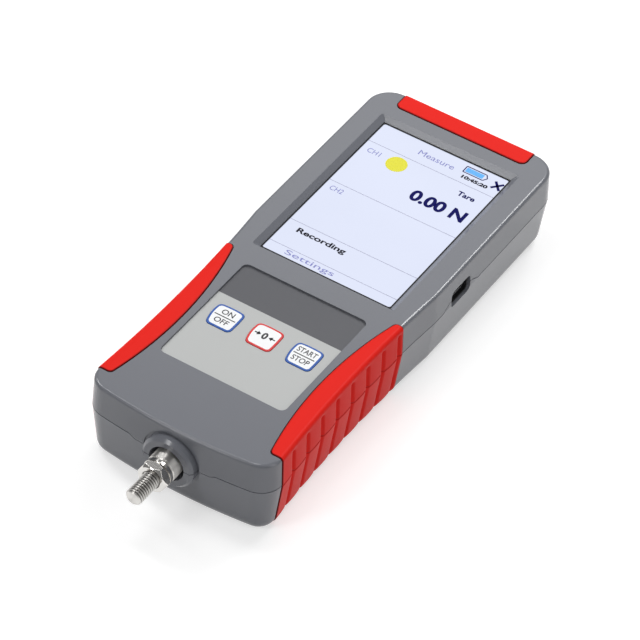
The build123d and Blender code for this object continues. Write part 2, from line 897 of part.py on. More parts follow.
with BuildPart() as display_frame:
    with BuildSketch(Plane.XY.offset(frame_base)):
        with Locations((0, window_y)):
            Rectangle(lcd_width, lcd_length)
            Rectangle(lcd_width - 2 * frame_rail, lcd_length - 2 * frame_rail, mode=Mode.SUBTRACT)
        for x, y in frame_screw_places:
            inner = math.copysign(lcd_width / 2 - frame_rail, x)
            outer = math.copysign(abs(x) + frame_post_radius, x)
            with Locations(((inner + outer) / 2, y)):
                RectangleRounded(abs(outer - inner), 2 * frame_post_radius, frame_post_radius / 2)
        with Locations(*frame_screw_places):
            Circle(frame_screw_radius + screw_pilot_clearance, mode=Mode.SUBTRACT)
    extrude(amount=frame_thickness)


def pan_screws(places, seat, radius, length, head_radius, head_height, upwards):
    """Pan-head screws of one kind: the head bears on the level seat and the shank runs past it."""
    direction = 1 if upwards else -1
    with BuildPart() as screws:
        with BuildSketch(Plane.XY.offset(seat)):
            with Locations(*places):
                Circle(radius)
        extrude(amount=direction * length)
        with BuildSketch(Plane.XY.offset(seat)):
            with Locations(*places):
                Circle(head_radius)
        extrude(amount=-direction * head_height)
        head_faces = screws.faces().group_by(Axis.Z)[0 if upwards else -1]
        fillet(head_faces.edges(), head_height / 4)
        with BuildSketch(Plane.XY.offset(seat - direction * head_height)):
            with Locations(*places):
                RegularPolygon(min(drive_recess_radius, head_radius / 2), 6)
        extrude(amount=direction * drive_recess_depth, mode=Mode.SUBTRACT)
    return screws.part


with BuildPart() as display_screws:
    add(
        pan_screws(
            frame_screw_places,
            frame_base,
            frame_screw_radius,
            frame_screw_length,
            frame_screw_head_radius,
            frame_screw_head_height,
            upwards=True,
        )
    )

# ---------------------------------------------------------------- keypad stack

with BuildPart() as keypad_overlay:
    with BuildSketch(Plane.XY.offset(keypad_floor)):
        with Locations((0, keypad_y)):
            RectangleRounded(
                keypad_width - 2 * overlay_clearance, keypad_length - 2 * overlay_clearance, keypad_corner
            )
    extrude(amount=overlay_thickness)
    for x in key_xs:
        add(key_prism(x, key_clearance, front_inner, case_depth), mode=Mode.SUBTRACT)


def key_cap(centre_x):
    """One key cap with a softened top edge."""
    with BuildPart() as cap:
        add(key_prism(centre_x, 0, key_base, key_top))
        fillet(cap.faces().sort_by(Axis.Z)[-1].edges(), key_edge_round)
        add(key_prism(centre_x, key_flange_reach, key_base, key_flange_top))
    return cap.part


with BuildPart() as key_on_off:
    add(key_cap(key_xs[0]))

with BuildPart() as key_zero:
    add(key_cap(key_xs[1]))

with BuildPart() as key_start_stop:
    add(key_cap(key_xs[2]))

with BuildPart() as centre_dome:
    # a thin snap dome: a conical flank rising to a flat crown
    dome_slope = (dome_radius - dome_flat_radius) / dome_height
    dome_inner_radius = dome_radius - dome_thickness * dome_slope
    with BuildSketch(Plane.XZ.offset(-keypad_y)):
        with BuildLine():
            Polyline(
                (dome_radius, keypad_board_top),
                (dome_flat_radius, dome_top),
                (0, dome_top),
                (0, dome_top - dome_thickness),
                (dome_flat_radius, dome_top - dome_thickness),
                (dome_inner_radius, keypad_board_top),
                close=True,
            )
        make_face()
    revolve(axis=Axis((0, keypad_y, 0), (0, 0, 1)))

with BuildPart() as key_domes:
    with Locations(*[(x, 0) for x in key_xs]):
        add(centre_dome.part)

with BuildPart() as keypad_board:
    with BuildSketch(Plane.XY.offset(keypad_board_base)):
        with Locations((0, keypad_y)):
            Rectangle(keypad_board_width, keypad_board_length)
        with Locations(*stake_places):
            Circle(stake_radius + stake_clearance, mode=Mode.SUBTRACT)
    extrude(amount=keypad_board_thickness)


def ribbon(points, centre_x, width):
    """A flat ribbon: a bent line of Y and Z points, given thickness and carried across X."""
    with BuildPart() as strip:
        with BuildSketch(Plane.YZ.offset(centre_x - width / 2)):
            with BuildLine():
                FilletPolyline(*points, radius=ribbon_bend)
            trace(line_width=ribbon_thickness)
        extrude(amount=width)
    return strip.part


with BuildPart() as keypad_tail:
    tail_top = keypad_board_top - keypad_board_thickness / 2
    tail_foot = board_top + keypad_plug_height / 2
    add(
        ribbon(
            [
                (keypad_board_end_y, tail_top),
                (keypad_board_end_y + keypad_tail_reach, tail_top),
                (keypad_board_end_y + keypad_tail_reach, tail_foot),
                (keypad_plug_y + keypad_plug_length / 2, tail_foot),
            ],
            keypad_tail_x,
            keypad_tail_width,
        )
    )

# ---------------------------------------------------------------- main board

with BuildPart() as display_flex:
    flex_top = lcd_base + lcd_thickness / 2
    flex_foot = board_top + display_plug_height / 2
    add(
        ribbon(
            [
                (lcd_low_y, flex_top),
                (lcd_low_y - display_flex_reach, flex_top),
                (lcd_low_y - display_flex_reach, flex_foot),
                (display_plug_y - display_plug_length / 2, flex_foot),
            ],
            0,
            display_flex_width,
        )
    )

with BuildPart() as main_board:
    with BuildSketch(Plane.XY.offset(board_base)):
        with Locations((0, (board_foot_high_y + board_high_y) / 2)):
            Rectangle(board_width, board_high_y - board_foot_high_y)
        with Locations((0, (board_low_y + board_foot_high_y) / 2)):
            Rectangle(board_foot_width, board_foot_high_y - board_low_y)
        with Locations((0, (board_ear_low_y + board_ear_high_y) / 2)):
            Rectangle(2 * board_ear_x, board_ear_high_y - board_ear_low_y)
        with Locations(*board_screw_places):
            Circle(board_screw_radius + board_hole_clearance, mode=Mode.SUBTRACT)
    extrude(amount=board_thickness)

with BuildPart() as board_components:
    for x, y, size_x, size_y, height in (
        (cell_plug_x, cell_plug_y, cell_plug_width, cell_plug_length, cell_plug_height),
        (0, display_plug_y, display_flex_width + ribbon_bend, display_plug_length, display_plug_height),
        (
            keypad_tail_x,
            keypad_plug_y,
            keypad_tail_width + ribbon_bend,
            keypad_plug_length,
            keypad_plug_height,
        ),
        (0, processor_y, processor_size, processor_size, processor_height),
        (converter_x, converter_y, converter_size, converter_size, converter_height),
        (charger_x, charger_y, charger_size, charger_size, charger_height),
        (inductor_x, inductor_y, inductor_size, inductor_size, inductor_height),
    ):
        with BuildSketch(Plane.XY.offset(board_top)):
            with Locations((x, y)):
                Rectangle(size_x, size_y)
        extrude(amount=height)
    # the battery plug hangs from the underside
    with BuildSketch(Plane.XY.offset(board_base)):
        with Locations((battery_lead_x, battery_lead_y)):
            Rectangle(battery_plug_width, battery_plug_length)
    extrude(amount=-battery_plug_height)

with BuildPart() as board_screws:
    add(
        pan_screws(
            board_screw_places,
            board_top,
            board_screw_radius,
            board_screw_length,
            board_screw_head_radius,
            board_screw_head_height,
            upwards=False,
        )
    )

with BuildPart() as usb_socket:
    # a rounded metal tube with a closed back and a tongue inside
    socket_mouth_x = half_width - socket_set_back
    with BuildSketch(Plane.YZ.offset(socket_mouth_x)):
        with Locations((port_y, port_height)):
            RectangleRounded(socket_width, socket_tall, socket_corner)
    extrude(amount=-socket_length)
    with BuildSketch(Plane.YZ.offset(socket_mouth_x)):
        with Locations((port_y, port_height)):
            RectangleRounded(
                socket_width - 2 * socket_wall, socket_tall - 2 * socket_wall, socket_corner - socket_wall
            )
    extrude(amount=-socket_length + socket_wall, mode=Mode.SUBTRACT)
    with BuildSketch(Plane.YZ.offset(socket_mouth_x - tongue_set_back)):
        with Locations((port_y, port_height)):
            Rectangle(tongue_width, tongue_thickness)
    extrude(amount=tongue_set_back - socket_length + socket_wall)

with BuildPart() as buzzer:
    with BuildSketch(Plane.XY.offset(board_top)):
        with Locations((buzzer_x, buzzer_y)):
            Circle(buzzer_radius)
    extrude(amount=buzzer_height)
    with BuildSketch(Plane.XY.offset(board_top + buzzer_height)):
        with Locations((buzzer_x, buzzer_y)):
            Circle(buzzer_port_radius)
    extrude(amount=-buzzer_port_depth, mode=Mode.SUBTRACT)

# ---------------------------------------------------------------- load cell and bracket

with BuildPart() as load_cell:
    # a beam cell: two slots from opposite sides fold the block into a stiff S
    with BuildSketch(Plane.XY.offset(cell_base)):
        with Locations((0, cell_middle_y)):
            Rectangle(cell_width, cell_length)
        slot_x = (cell_width - cell_slot_reach) / 2
        with Locations((-slot_x, cell_front_y + cell_slot_inset), (slot_x, cell_back_y - cell_slot_inset)):
            Rectangle(cell_slot_reach, cell_slot_width, mode=Mode.SUBTRACT)
        # the two joined eyes whose thin walls carry the strain gauges
        with Locations((-cell_eye_pitch / 2, cell_middle_y), (cell_eye_pitch / 2, cell_middle_y)):
            Circle(cell_eye_radius, mode=Mode.SUBTRACT)
        with Locations((0, cell_middle_y)):
            Rectangle(cell_eye_pitch, cell_slot_width, mode=Mode.SUBTRACT)
    extrude(amount=cell_thickness)
    with BuildSketch(spindle_plane.offset(-cell_front_y)):
        Circle(spindle_tail_radius + spindle_tail_clearance)
    extrude(amount=-spindle_tail_length - cell_bore_run_out, mode=Mode.SUBTRACT)
    with BuildSketch(spindle_plane.offset(-cell_back_y)):
        Circle(cell_bolt_radius + spindle_tail_clearance)
    extrude(amount=cell_bolt_thread + cell_bore_run_out, mode=Mode.SUBTRACT)

with BuildPart() as load_cell_bracket:
    # an angle: the foot screwed to the rear shell, the upright bolted to the cell
    with BuildSketch(Plane.YZ.offset(-bracket_width / 2)):
        with BuildLine():
            Polyline(
                (cell_back_y, bracket_foot_top - bracket_thickness),
                (cell_back_y, cell_top),
                (bracket_back_y, cell_top),
                (bracket_back_y, bracket_foot_top),
                (bracket_back_y + bracket_foot, bracket_foot_top),
                (bracket_back_y + bracket_foot, bracket_foot_top - bracket_thickness),
                close=True,
            )
        make_face()
    extrude(amount=bracket_width)
    with BuildSketch(spindle_plane.offset(-bracket_back_y)):
        Circle(cell_bolt_radius + bolt_hole_clearance)
    extrude(amount=bracket_thickness, mode=Mode.SUBTRACT)
    with BuildSketch(Plane.XY.offset(bracket_foot_top)):
        with Locations(*bracket_screw_places):
            Circle(bracket_screw_radius + bolt_hole_clearance)
    extrude(amount=-bracket_thickness, mode=Mode.SUBTRACT)

with BuildPart() as load_cell_bolt:
    with BuildSketch(spindle_plane.offset(-bracket_back_y)):
        Circle(cell_bolt_radius)
    extrude(amount=bracket_thickness + cell_bolt_thread)
    with BuildSketch(spindle_plane.offset(-bracket_back_y)):
        Circle(cell_bolt_head_radius)
    extrude(amount=-cell_bolt_head_height)
    with BuildSketch(spindle_plane.offset(-bracket_back_y - cell_bolt_head_height)):
        RegularPolygon(cell_bolt_head_radius / 2, 6)
    extrude(amount=cell_bolt_head_height / 2, mode=Mode.SUBTRACT)

with BuildPart() as bracket_screws:
    add(
        pan_screws(
            bracket_screw_places,
            bracket_foot_top,
            bracket_screw_radius,
            bracket_screw_length,
            bracket_screw_head_radius,
            bracket_screw_head_height,
            upwards=False,
        )
    )


def lead(points):
    """A round lead along a bent line of points."""
    with BuildPart() as cable:
        with BuildLine() as path:
            FilletPolyline(*points, radius=lead_bend)
        with BuildSketch(Plane(path.line @ 0, z_dir=path.line % 0)):
            Circle(lead_radius)
        sweep()
    return cable.part


with BuildPart() as load_cell_lead:
    add(
        lead(
            [
                (cell_lead_x, cell_back_y, cell_lead_z),
                (cell_lead_x, cell_lead_bend_y, cell_lead_z),
                (cell_plug_x, cell_lead_turn_y, cell_lead_z),
                (cell_plug_x, cell_plug_y - cell_plug_length / 2, cell_lead_z),
            ]
        )
    )

# ---------------------------------------------------------------- spindle and lock nut

with BuildPart() as measuring_spindle:
    # half profile about the spindle axis: distance towards -Y, then radius
    shank_start = -cell_front_y + spindle_end_gap
    with BuildSketch(Plane(origin=(0, 0, spindle_height), x_dir=(0, -1, 0), z_dir=(1, 0, 0))):
        with BuildLine():
            Polyline(
                (shank_start - spindle_tail_length, 0),
                (shank_start - spindle_tail_length, spindle_tail_radius),
                (shank_start, spindle_tail_radius),
                (shank_start, shank_radius),
                (-shoulder_y, shank_radius),
                (-shoulder_y, relief_radius),
                (-shoulder_y + relief_length, relief_radius),
                (-shoulder_y + relief_length, stud_radius),
                (-stud_tip_y - stud_tip_chamfer, stud_radius),
                (-stud_tip_y, stud_radius - stud_tip_chamfer),
                (-stud_tip_y, 0),
                close=True,
            )
        make_face()
    revolve(axis=spindle_axis)

with BuildPart() as lock_nut:
    nut_corner_radius = nut_across_flats / math.sqrt(3)
    nut_chamfer_reach = nut_corner_radius - nut_across_flats / 2
    nut_seat = spindle_plane.offset(-shoulder_y + nut_clearance)
    with BuildSketch(nut_seat):
        Circle(nut_corner_radius)
    extrude(amount=nut_thickness)
    chamfer(
        lock_nut.edges().filter_by(GeomType.CIRCLE),
        nut_chamfer_reach * math.tan(math.radians(nut_chamfer_angle)),
        nut_chamfer_reach,
    )
    with BuildSketch(nut_seat):
        RegularPolygon(nut_corner_radius, 6)
    extrude(amount=nut_thickness, mode=Mode.INTERSECT)
    with BuildSketch(nut_seat):
        Circle(relief_radius + nut_clearance)
    extrude(amount=nut_thickness, mode=Mode.SUBTRACT)

# ---------------------------------------------------------------- battery

with BuildPart() as battery_pack:
    with BuildSketch(Plane.XY.offset(battery_base)):
        with Locations((0, battery_middle_y)):
            RectangleRounded(battery_width, battery_length, battery_corner)
    extrude(amount=battery_thickness)
    fillet(battery_pack.faces().group_by(Axis.Z)[-1].edges(), battery_corner / 2)

with BuildPart() as battery_pad:
    with BuildSketch(Plane.XY.offset(wall)):
        with Locations((0, battery_middle_y)):
            Rectangle(battery_width - 2 * battery_pad_inset, battery_length - 2 * battery_pad_inset)
    extrude(amount=battery_pad_thickness)

with BuildPart() as battery_lead:
    add(
        lead(
            [
                (battery_lead_x, battery_high_y, battery_lead_z),
                (battery_lead_x, battery_lead_y, battery_lead_z),
                (battery_lead_x, battery_lead_y, board_base - battery_plug_height),
            ]
        )
    )

# ---------------------------------------------------------------- case screws and inserts

with BuildPart() as case_screws:
    add(
        pan_screws(
            case_screw_places,
            case_screw_seat,
            case_screw_radius,
            case_screw_length,
            case_screw_head_radius,
            case_screw_head_height,
            upwards=True,
        )
    )

with BuildPart() as mounting_inserts:
    with BuildSketch(Plane.XY):
        with Locations(*insert_places):
            Circle(insert_radius)
            Circle(insert_bore_radius, mode=Mode.SUBTRACT)
    extrude(amount=insert_length)

# ---------------------------------------------------------------- export

pieces = {
    "front_shell": front_shell,
    "rear_shell": rear_shell,
    "grip_right_front": grip_right_front,
    "grip_right_rear": grip_right_rear,
    "grip_left_front": grip_left_front,
    "grip_left_rear": grip_left_rear,
    "top_bumper": top_bumper,
    "display_gasket": display_gasket,
    "touch_panel": touch_panel,
    "lcd_module": lcd_module,
    "display_frame": display_frame,
    "display_screws": display_screws,
    "display_flex": display_flex,
    "keypad_overlay": keypad_overlay,
    "key_on_off": key_on_off,
    "key_zero": key_zero,
    "key_start_stop": key_start_stop,
    "key_domes": key_domes,
    "keypad_board": keypad_board,
    "keypad_tail": keypad_tail,
    "main_board": main_board,
    "board_components": board_components,
    "board_screws": board_screws,
    "usb_socket": usb_socket,
    "buzzer": buzzer,
    "load_cell": load_cell,
    "load_cell_bracket": load_cell_bracket,
    "load_cell_bolt": load_cell_bolt,
    "bracket_screws": bracket_screws,
    "load_cell_lead": load_cell_lead,
    "measuring_spindle": measuring_spindle,
    "lock_nut": lock_nut,
    "battery_pack": battery_pack,
    "battery_pad": battery_pad,
    "battery_lead": battery_lead,
    "case_screws": case_screws,
    "mounting_inserts": mounting_inserts,
}
for name, piece in pieces.items():
    piece.part.label = name
    export_step(piece.part, f"parts/{name}.step")
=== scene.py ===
import math

import bmesh
import bpy
import numpy as np
from mathutils import Matrix, Vector


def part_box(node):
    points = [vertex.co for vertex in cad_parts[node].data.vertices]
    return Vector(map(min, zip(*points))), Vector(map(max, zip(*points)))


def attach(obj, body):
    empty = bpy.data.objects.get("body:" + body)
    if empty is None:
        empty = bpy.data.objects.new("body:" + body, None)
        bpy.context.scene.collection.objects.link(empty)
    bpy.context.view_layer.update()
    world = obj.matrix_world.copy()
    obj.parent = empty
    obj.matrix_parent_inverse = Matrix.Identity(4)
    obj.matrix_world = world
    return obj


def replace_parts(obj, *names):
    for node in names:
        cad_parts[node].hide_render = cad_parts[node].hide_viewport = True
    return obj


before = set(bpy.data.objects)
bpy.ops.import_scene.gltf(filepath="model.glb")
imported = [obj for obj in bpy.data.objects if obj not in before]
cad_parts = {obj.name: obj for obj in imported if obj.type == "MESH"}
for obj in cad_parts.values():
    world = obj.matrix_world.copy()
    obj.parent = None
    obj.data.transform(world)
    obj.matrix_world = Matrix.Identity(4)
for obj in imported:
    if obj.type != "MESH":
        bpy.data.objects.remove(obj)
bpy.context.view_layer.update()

bl_info = {
    "name": "Force gauge finishes",
    "version": (1, 0, 0),
    "blender": (4, 5, 0),
    "location": "3D View > Sidebar > Force gauge",
    "description": "Prints, finishes and fine metal work of a handheld force gauge",
    "category": "Object",
}

MM = 0.001

# ---- places taken from the frame

SCREEN_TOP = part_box("touch_panel")[1].z
SPINDLE_LOW, SPINDLE_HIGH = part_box("measuring_spindle")
SPINDLE_Z = (SPINDLE_LOW.z + SPINDLE_HIGH.z) / 2
NUT_LOW, NUT_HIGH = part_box("lock_nut")
CASE_LOW, CASE_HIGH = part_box("rear_shell")
GRIP_LOW, GRIP_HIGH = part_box("grip_right_front")
PARTING_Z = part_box("grip_right_rear")[1].z

# ---- fixed layout

# Half the width of a key's face inside its flange.
KEY_HALF = 5.15 * MM
KEY_FLANGE = 0.8 * MM

# How far the rubber stands proud, the round of its border, and its thickness.
RUBBER_PROUD = 0.35 * MM
RUBBER_ROUND = 0.35 * MM
RUBBER_THICKNESS = 1.5 * MM

# Sockets of a Mix node that mixes colours.
MIX_MASK, MIX_FIRST, MIX_SECOND, MIX_RESULT = 0, 6, 7, 2

# Piece, words, box (x low, x high, y low, y high) in millimetres, paint and weight.
SCREEN_WORDS = (
    ("reading_digits", "0.00 N", (1.2, 22.2, 46.7, 52.4), "navy", 0.04),
    ("clock_digits", "10:45:20", (10.3, 20.3, 66.3, 68.0), "dark", 0.05),
    ("channel_one_mark", "CH1", (-22.4, -17.4, 58.7, 61.0), "lilac", 0),
    ("channel_two_mark", "CH2", (-22.4, -17.4, 35.2, 37.5), "lilac", 0),
    ("page_word", "Measure", (-7.6, 6.2, 67.8, 70.3), "lilac", 0),
    ("tare_word", "Tare", (13.6, 20.2, 58.0, 60.4), "navy", 0.03),
    ("record_word", "Recording", (-19.8, -1.0, 10.3, 13.4), "dark", 0.03),
    ("settings_word", "Settings", (-17.2, 1.6, -0.8, 2.2), "lilac", 0),
)

# Screen shapes in millimetres: the disc, the lines between rows, the charge mark and the cross.
DISC_RADIUS, DISC_CENTRE = 3.78, (-10.5, 59.04)
ROW_HALF_LENGTH, ROW_HALF_WIDTH, ROW_PLACES = 24.6, 0.12, (64.0, 39.5, 15.5, 3.0)
CHARGE_FILL = (9.9, 16.6, 69.8, 72.0)
CHARGE_OUTLINE = ((9.4, 69.3), (17.1, 69.3), (18.1, 70.9), (17.1, 72.5), (9.4, 72.5))
CHARGE_LINE_WIDTH = 0.4
CROSS_STROKES = (((21.1, 67.9), (24.3, 71.6)), ((21.1, 71.6), (24.3, 67.9)))
CROSS_WIDTH = 0.95

# Key and the colour of its border; then key, its two words and their widths in millimetres.
KEY_BORDERS = (("key_on_off", "blue"), ("key_zero", "red"), ("key_start_stop", "blue"))
KEY_LEGENDS = (
    ("key_on_off", ("ON", "OFF"), (4.6, 5.2)),
    ("key_start_stop", ("START", "STOP"), (7.2, 6.4)),
)

# Material, colour, roughness, other settings of the finish, and the nodes that it covers.
INSIDE_FINISHES = (
    ("zinc_steel", (0.5, 0.5, 0.51), 0.35, {"grain_scale": 500, "metallic": 1.0, "bump": 0.05},
     ("case_screws", "board_screws", "bracket_screws", "display_screws", "load_cell_bolt",
      "display_frame", "lcd_module", "key_domes", "usb_socket")),
    ("milled_aluminium", (0.62, 0.63, 0.65), 0.38,
     {"grain_scale": 300, "metallic": 1.0, "bump": 0.1}, ("load_cell", "load_cell_bracket")),
    ("insert_brass", (0.62, 0.42, 0.16), 0.3, {"metallic": 1.0}, ("mounting_inserts",)),
    ("solder_mask", (0.01, 0.1, 0.045), 0.4, {}, ("main_board", "keypad_board")),
    ("moulded_black", (0.015, 0.015, 0.016), 0.5, {}, ("board_components", "buzzer")),
    ("ribbon_amber", (0.3, 0.12, 0.02), 0.35, {}, ("display_flex", "keypad_tail")),
    ("battery_wrap", (0.05, 0.07, 0.12), 0.35, {}, ("battery_pack",)),
    ("foam_black", (0.004, 0.004, 0.005), 0.8, {"bump": 0.3}, ("display_gasket", "battery_pad")),
    ("lead_sheath", (0.02, 0.02, 0.022), 0.5, {}, ("battery_lead", "load_cell_lead")),
)

# Name, place and size in metres, and power in watts.
SOFTBOXES = (
    ("back_softbox", (0.08, 0.62, 0.78), (0.40, 0.22), 3.7),
    ("top_strip", (-0.42, 0.04, 0.74), (0.12, 0.80), 2.8),
    ("sheen_softbox", (-0.42, 0.98, 0.86), (0.80, 0.42), 1.5),
    ("right_softbox", (0.86, -0.12, 0.50), (0.40, 0.80), 1.8),
    ("front_softbox", (-0.42, -0.92, 0.83), (0.30, 0.30), 2.8),
)
WORLD_STRENGTH = 0.24


# ---- settings


def colour_setting(label, words, default):
    """A colour that a user may change."""
    return bpy.props.FloatVectorProperty(
        name=label, description=words, subtype="COLOR", size=3, min=0, max=1, default=default,
    )


def length_setting(label, words, millimetres):
    """A length that a user may change."""
    return bpy.props.FloatProperty(
        name=label, description=words, unit="LENGTH", default=millimetres * MM,
    )


def angle_setting(label, words, degrees):
    """An angle that a user may change."""
    return bpy.props.FloatProperty(
        name=label, description=words, subtype="ANGLE", default=math.radians(degrees),
    )


class GaugeColours(bpy.types.PropertyGroup):
    """Colours of the case, the rubber, the prints and the metal."""

    case: colour_setting("Case grey", "Moulded case", (0.167, 0.174, 0.196))
    rubber: colour_setting("Rubber red", "Grips and bumper", (0.78, 0.018, 0.012))
    label: colour_setting("Label grey", "Lower part of the keypad label", (0.475, 0.485, 0.48))
    band: colour_setting("Label band", "Dark band of the keypad label", (0.090, 0.092, 0.103))
    key: colour_setting("Key white", "Key faces", (0.9, 0.91, 0.92))
    blue: colour_setting("Key blue", "Border of the outer keys", (0.018, 0.098, 0.41))
    red: colour_setting("Key red", "Border of the zero key", (0.68, 0.03, 0.03))
    navy: colour_setting("Screen navy", "Digits of the reading", (0.006, 0.006, 0.1))
    lilac: colour_setting("Screen lilac", "Small words of the screen", (0.25, 0.26, 0.55))
    screen: colour_setting("Screen glow", "Ground of the lit screen", (0.70, 0.745, 0.90))
    nickel: colour_setting("Nickel", "Spindle, stud and nut", (0.70, 0.685, 0.66))


class GaugeSizes(bpy.types.PropertyGroup):
    """Sizes of the fine work that the scene adds to the solids."""

    thread_pitch: length_setting("Thread pitch", "Pitch of the stud's thread", 1.0)
    thread_depth: length_setting("Thread depth", "Crest to root of the stud's thread", 0.55)
    print_thickness: length_setting("Print thickness", "Height of printed ink", 0.02)
    border_width: length_setting("Key border", "Width of the line round each key", 0.72)
    band_edge: length_setting("Band edge", "Where the label's dark band ends along the case", -28.7)


class GaugeStage(bpy.types.PropertyGroup):
    """Camera of the stage."""

    azimuth: angle_setting("Azimuth", "Turn of the camera about the vertical", 29.70)
    elevation: angle_setting("Elevation", "Height angle of the camera", 43.88)
    roll: angle_setting("Roll", "Turn of the camera about its own line of sight", 4.42)
    distance: length_setting("Distance", "Camera to the middle of the case top", 1209.4)
    lens: bpy.props.FloatProperty(
        name="Lens", description="Focal length for a 36 mm sensor, in millimetres", default=209.33,
    )
    aim: bpy.props.FloatVectorProperty(
        name="Aim", description="Offset of the case in the camera's own plane", subtype="XYZ",
        unit="LENGTH", size=2, default=(2.3 * MM, 16.5 * MM),
    )


def settings(context):
    """The scene's three groups of settings."""
    scene = context.scene
    return scene.gauge_colours, scene.gauge_sizes, scene.gauge_stage


# ---- mesh helpers


def add_object(name, data):
    """An object of this data, linked to the scene."""
    made = bpy.data.objects.new(name, data)
    bpy.context.scene.collection.objects.link(made)
    return made


def add_mesh(name, points, faces, body, material, slot_name, smooth=False):
    """A piece from an array of points and lists of faces, riding on a body."""
    mesh = bpy.data.meshes.new(name)
    mesh.from_pydata(points.tolist(), [], faces)
    mesh.update()
    if smooth:
        mesh.shade_smooth()
    else:
        mesh.shade_flat()
    mesh.materials.append(material)
    piece = add_object(name, mesh)
    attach(piece, body)
    return piece


def grid_faces(rows, columns, closed_rows=False, closed_columns=False):
    """Quads between neighbouring rows and columns of a grid, joined round where it is closed."""
    row = np.arange(rows if closed_rows else rows - 1)
    column = np.arange(columns if closed_columns else columns - 1)
    i, j = np.meshgrid(row, column, indexing="ij")
    k, m = (i + 1) % rows, (j + 1) % columns
    corners = [i * columns + j, k * columns + j, k * columns + m, i * columns + m]
    return np.stack(corners, axis=-1).reshape(-1, 4).tolist()


def prism(outline, low, high):
    """Points and faces of an upright prism: an outline, anticlockwise from above, twice."""
    count = len(outline)
    ring = np.column_stack([outline, np.full(count, low)])
    points = np.vstack([ring, ring + [0, 0, high - low]])
    sides = [[i, (i + 1) % count, count + (i + 1) % count, count + i] for i in range(count)]
    faces = [list(range(count - 1, -1, -1)), list(range(count, 2 * count))] + sides
    return points, faces


def joined(prisms):
    """Several sets of points and faces as one."""
    points, faces, start = [], [], 0
    for some_points, some_faces in prisms:
        points.append(some_points)
        faces += [[start + i for i in face] for face in some_faces]
        start += len(some_points)
    return np.vstack(points), faces


def bar(x_low, x_high, y_low, y_high):
    """Corners of a level bar, in millimetres, as an outline in metres."""
    return np.array([(x_low, y_low), (x_high, y_low), (x_high, y_high), (x_low, y_high)]) * MM


def stroke(start, end, width):
    """Corners of a straight stroke of one width between two points, in millimetres."""
    start, end = np.array(start, float), np.array(end, float)
    along = (end - start) / np.linalg.norm(end - start)
    side = np.array([-along[1], along[0]]) * width / 2
    return np.array([start - side, end - side, end + side, start + side]) * MM


def close_seams(mesh, sharp_angle):
    """Merges points that meet, turns faces outwards and keeps edges above an angle sharp."""
    shape = bmesh.new()
    shape.from_mesh(mesh)
    bmesh.ops.remove_doubles(shape, verts=shape.verts, dist=0.002 * MM)
    bmesh.ops.recalc_face_normals(shape, faces=shape.faces)
    shape.to_mesh(mesh)
    shape.free()
    mesh.set_sharp_from_angle(angle=math.radians(sharp_angle))


def store_painted_shade(mesh, painted_shade):
    """Keeps how much painted shade each point gets, from 0 to 1, as the attribute that the shading
    colour reads.
    """
    layer = mesh.attributes.new("painted_shade", "FLOAT", "POINT")
    layer.data.foreach_set("value", np.asarray(painted_shade, dtype=np.float32).ravel())


def sides(face):
    """A face's edges, each from one point to the next round it."""
    return set(zip(face, face[1:] + face[:1]))


def flat_letters(words, weight):
    """Points and faces of words as a flat sheet, in the font's own size.

    A heavy letter's faces may overlap in a tight corner, where two of them run along one edge in
    one direction. The second of the two gets points of its own.
    """
    curve = bpy.data.curves.new("letters", "FONT")
    curve.body = words
    curve.offset = weight
    curve.resolution_u = 6
    holder = add_object("letters", curve)
    bpy.context.view_layer.update()
    evaluated = holder.evaluated_get(bpy.context.evaluated_depsgraph_get())
    mesh = bpy.data.meshes.new_from_object(evaluated)
    bpy.data.objects.remove(holder)
    sheet = bmesh.new()
    sheet.from_mesh(mesh)
    bpy.data.meshes.remove(mesh)
    bmesh.ops.remove_doubles(sheet, verts=sheet.verts, dist=0.0002)
    sheet.verts.index_update()
    points = [vertex.co.xy[:] for vertex in sheet.verts]
    faces, taken = [], set()
    for face in ([vertex.index for vertex in face.verts] for face in sheet.faces):
        if sides(face) & taken:
            start = len(points)
            points += [points[i] for i in face]
            face = list(range(start, len(points)))
        taken |= sides(face)
        faces.append(face)
    sheet.free()
    return np.array(points), faces


def lettering(name, words, box, base, body, material, slot_name, weight=0.0):
    """Words as a thin closed plate that fills a box, given as in SCREEN_WORDS.

    The plate is the flat sheet of letters at two heights, with a wall on each edge of the sheet
    that has a face on one side only.
    """
    points, faces = flat_letters(words, weight)
    low, high = points.min(0), points.max(0)
    place_low, place_high = np.array(box[0::2]) * MM, np.array(box[1::2]) * MM
    points = place_low + (points - low) / (high - low) * (place_high - place_low)
    thickness = bpy.context.scene.gauge_sizes.print_thickness
    count = len(points)
    heights = np.repeat([base, base + thickness], count)
    edges = set().union(*map(sides, faces))
    walls = [[a, b, b + count, a + count] for a, b in sorted(edges) if (b, a) not in edges]
    lower = [face[::-1] for face in faces]
    upper = [[i + count for i in face] for face in faces]
    plate = np.column_stack([np.vstack([points, points]), heights])
    return add_mesh(name, plate, lower + upper + walls, body, material, slot_name)


def circle_through(first, second, third):
    """Centre and radius of the circle through three points."""
    rows = np.array([np.subtract(second, first), np.subtract(third, first)])
    squares = np.array([np.dot(p, p) for p in (first, second, third)])
    centre = np.linalg.solve(rows, (squares[1:] - squares[0]) / 2)
    return tuple(centre), float(np.hypot(*(centre - first)))


def bowed_line(points, along):
    """Cross distance at each place along a shallow arc through three (across, along) points."""
    (across, middle), radius = circle_through(*points)
    return across - np.sqrt(radius**2 - (along - middle)**2)


def rounded_drop(distance, radius):
    """How far a surface sinks at a distance from its border when the border is a quarter round."""
    inside = radius - np.clip(distance, 0, radius)
    return radius - np.sqrt(radius**2 - inside**2)


def with_fine_ends(start, end, count, fine=(0.08 * MM, 0.2 * MM, 0.36 * MM, 0.6 * MM)):
    """Even steps from start to end, with finer ones just inside both ends."""
    steps = np.array(fine)
    return np.unique(np.concatenate([np.linspace(start, end, count), start + steps, end - steps]))


# ---- shader groups


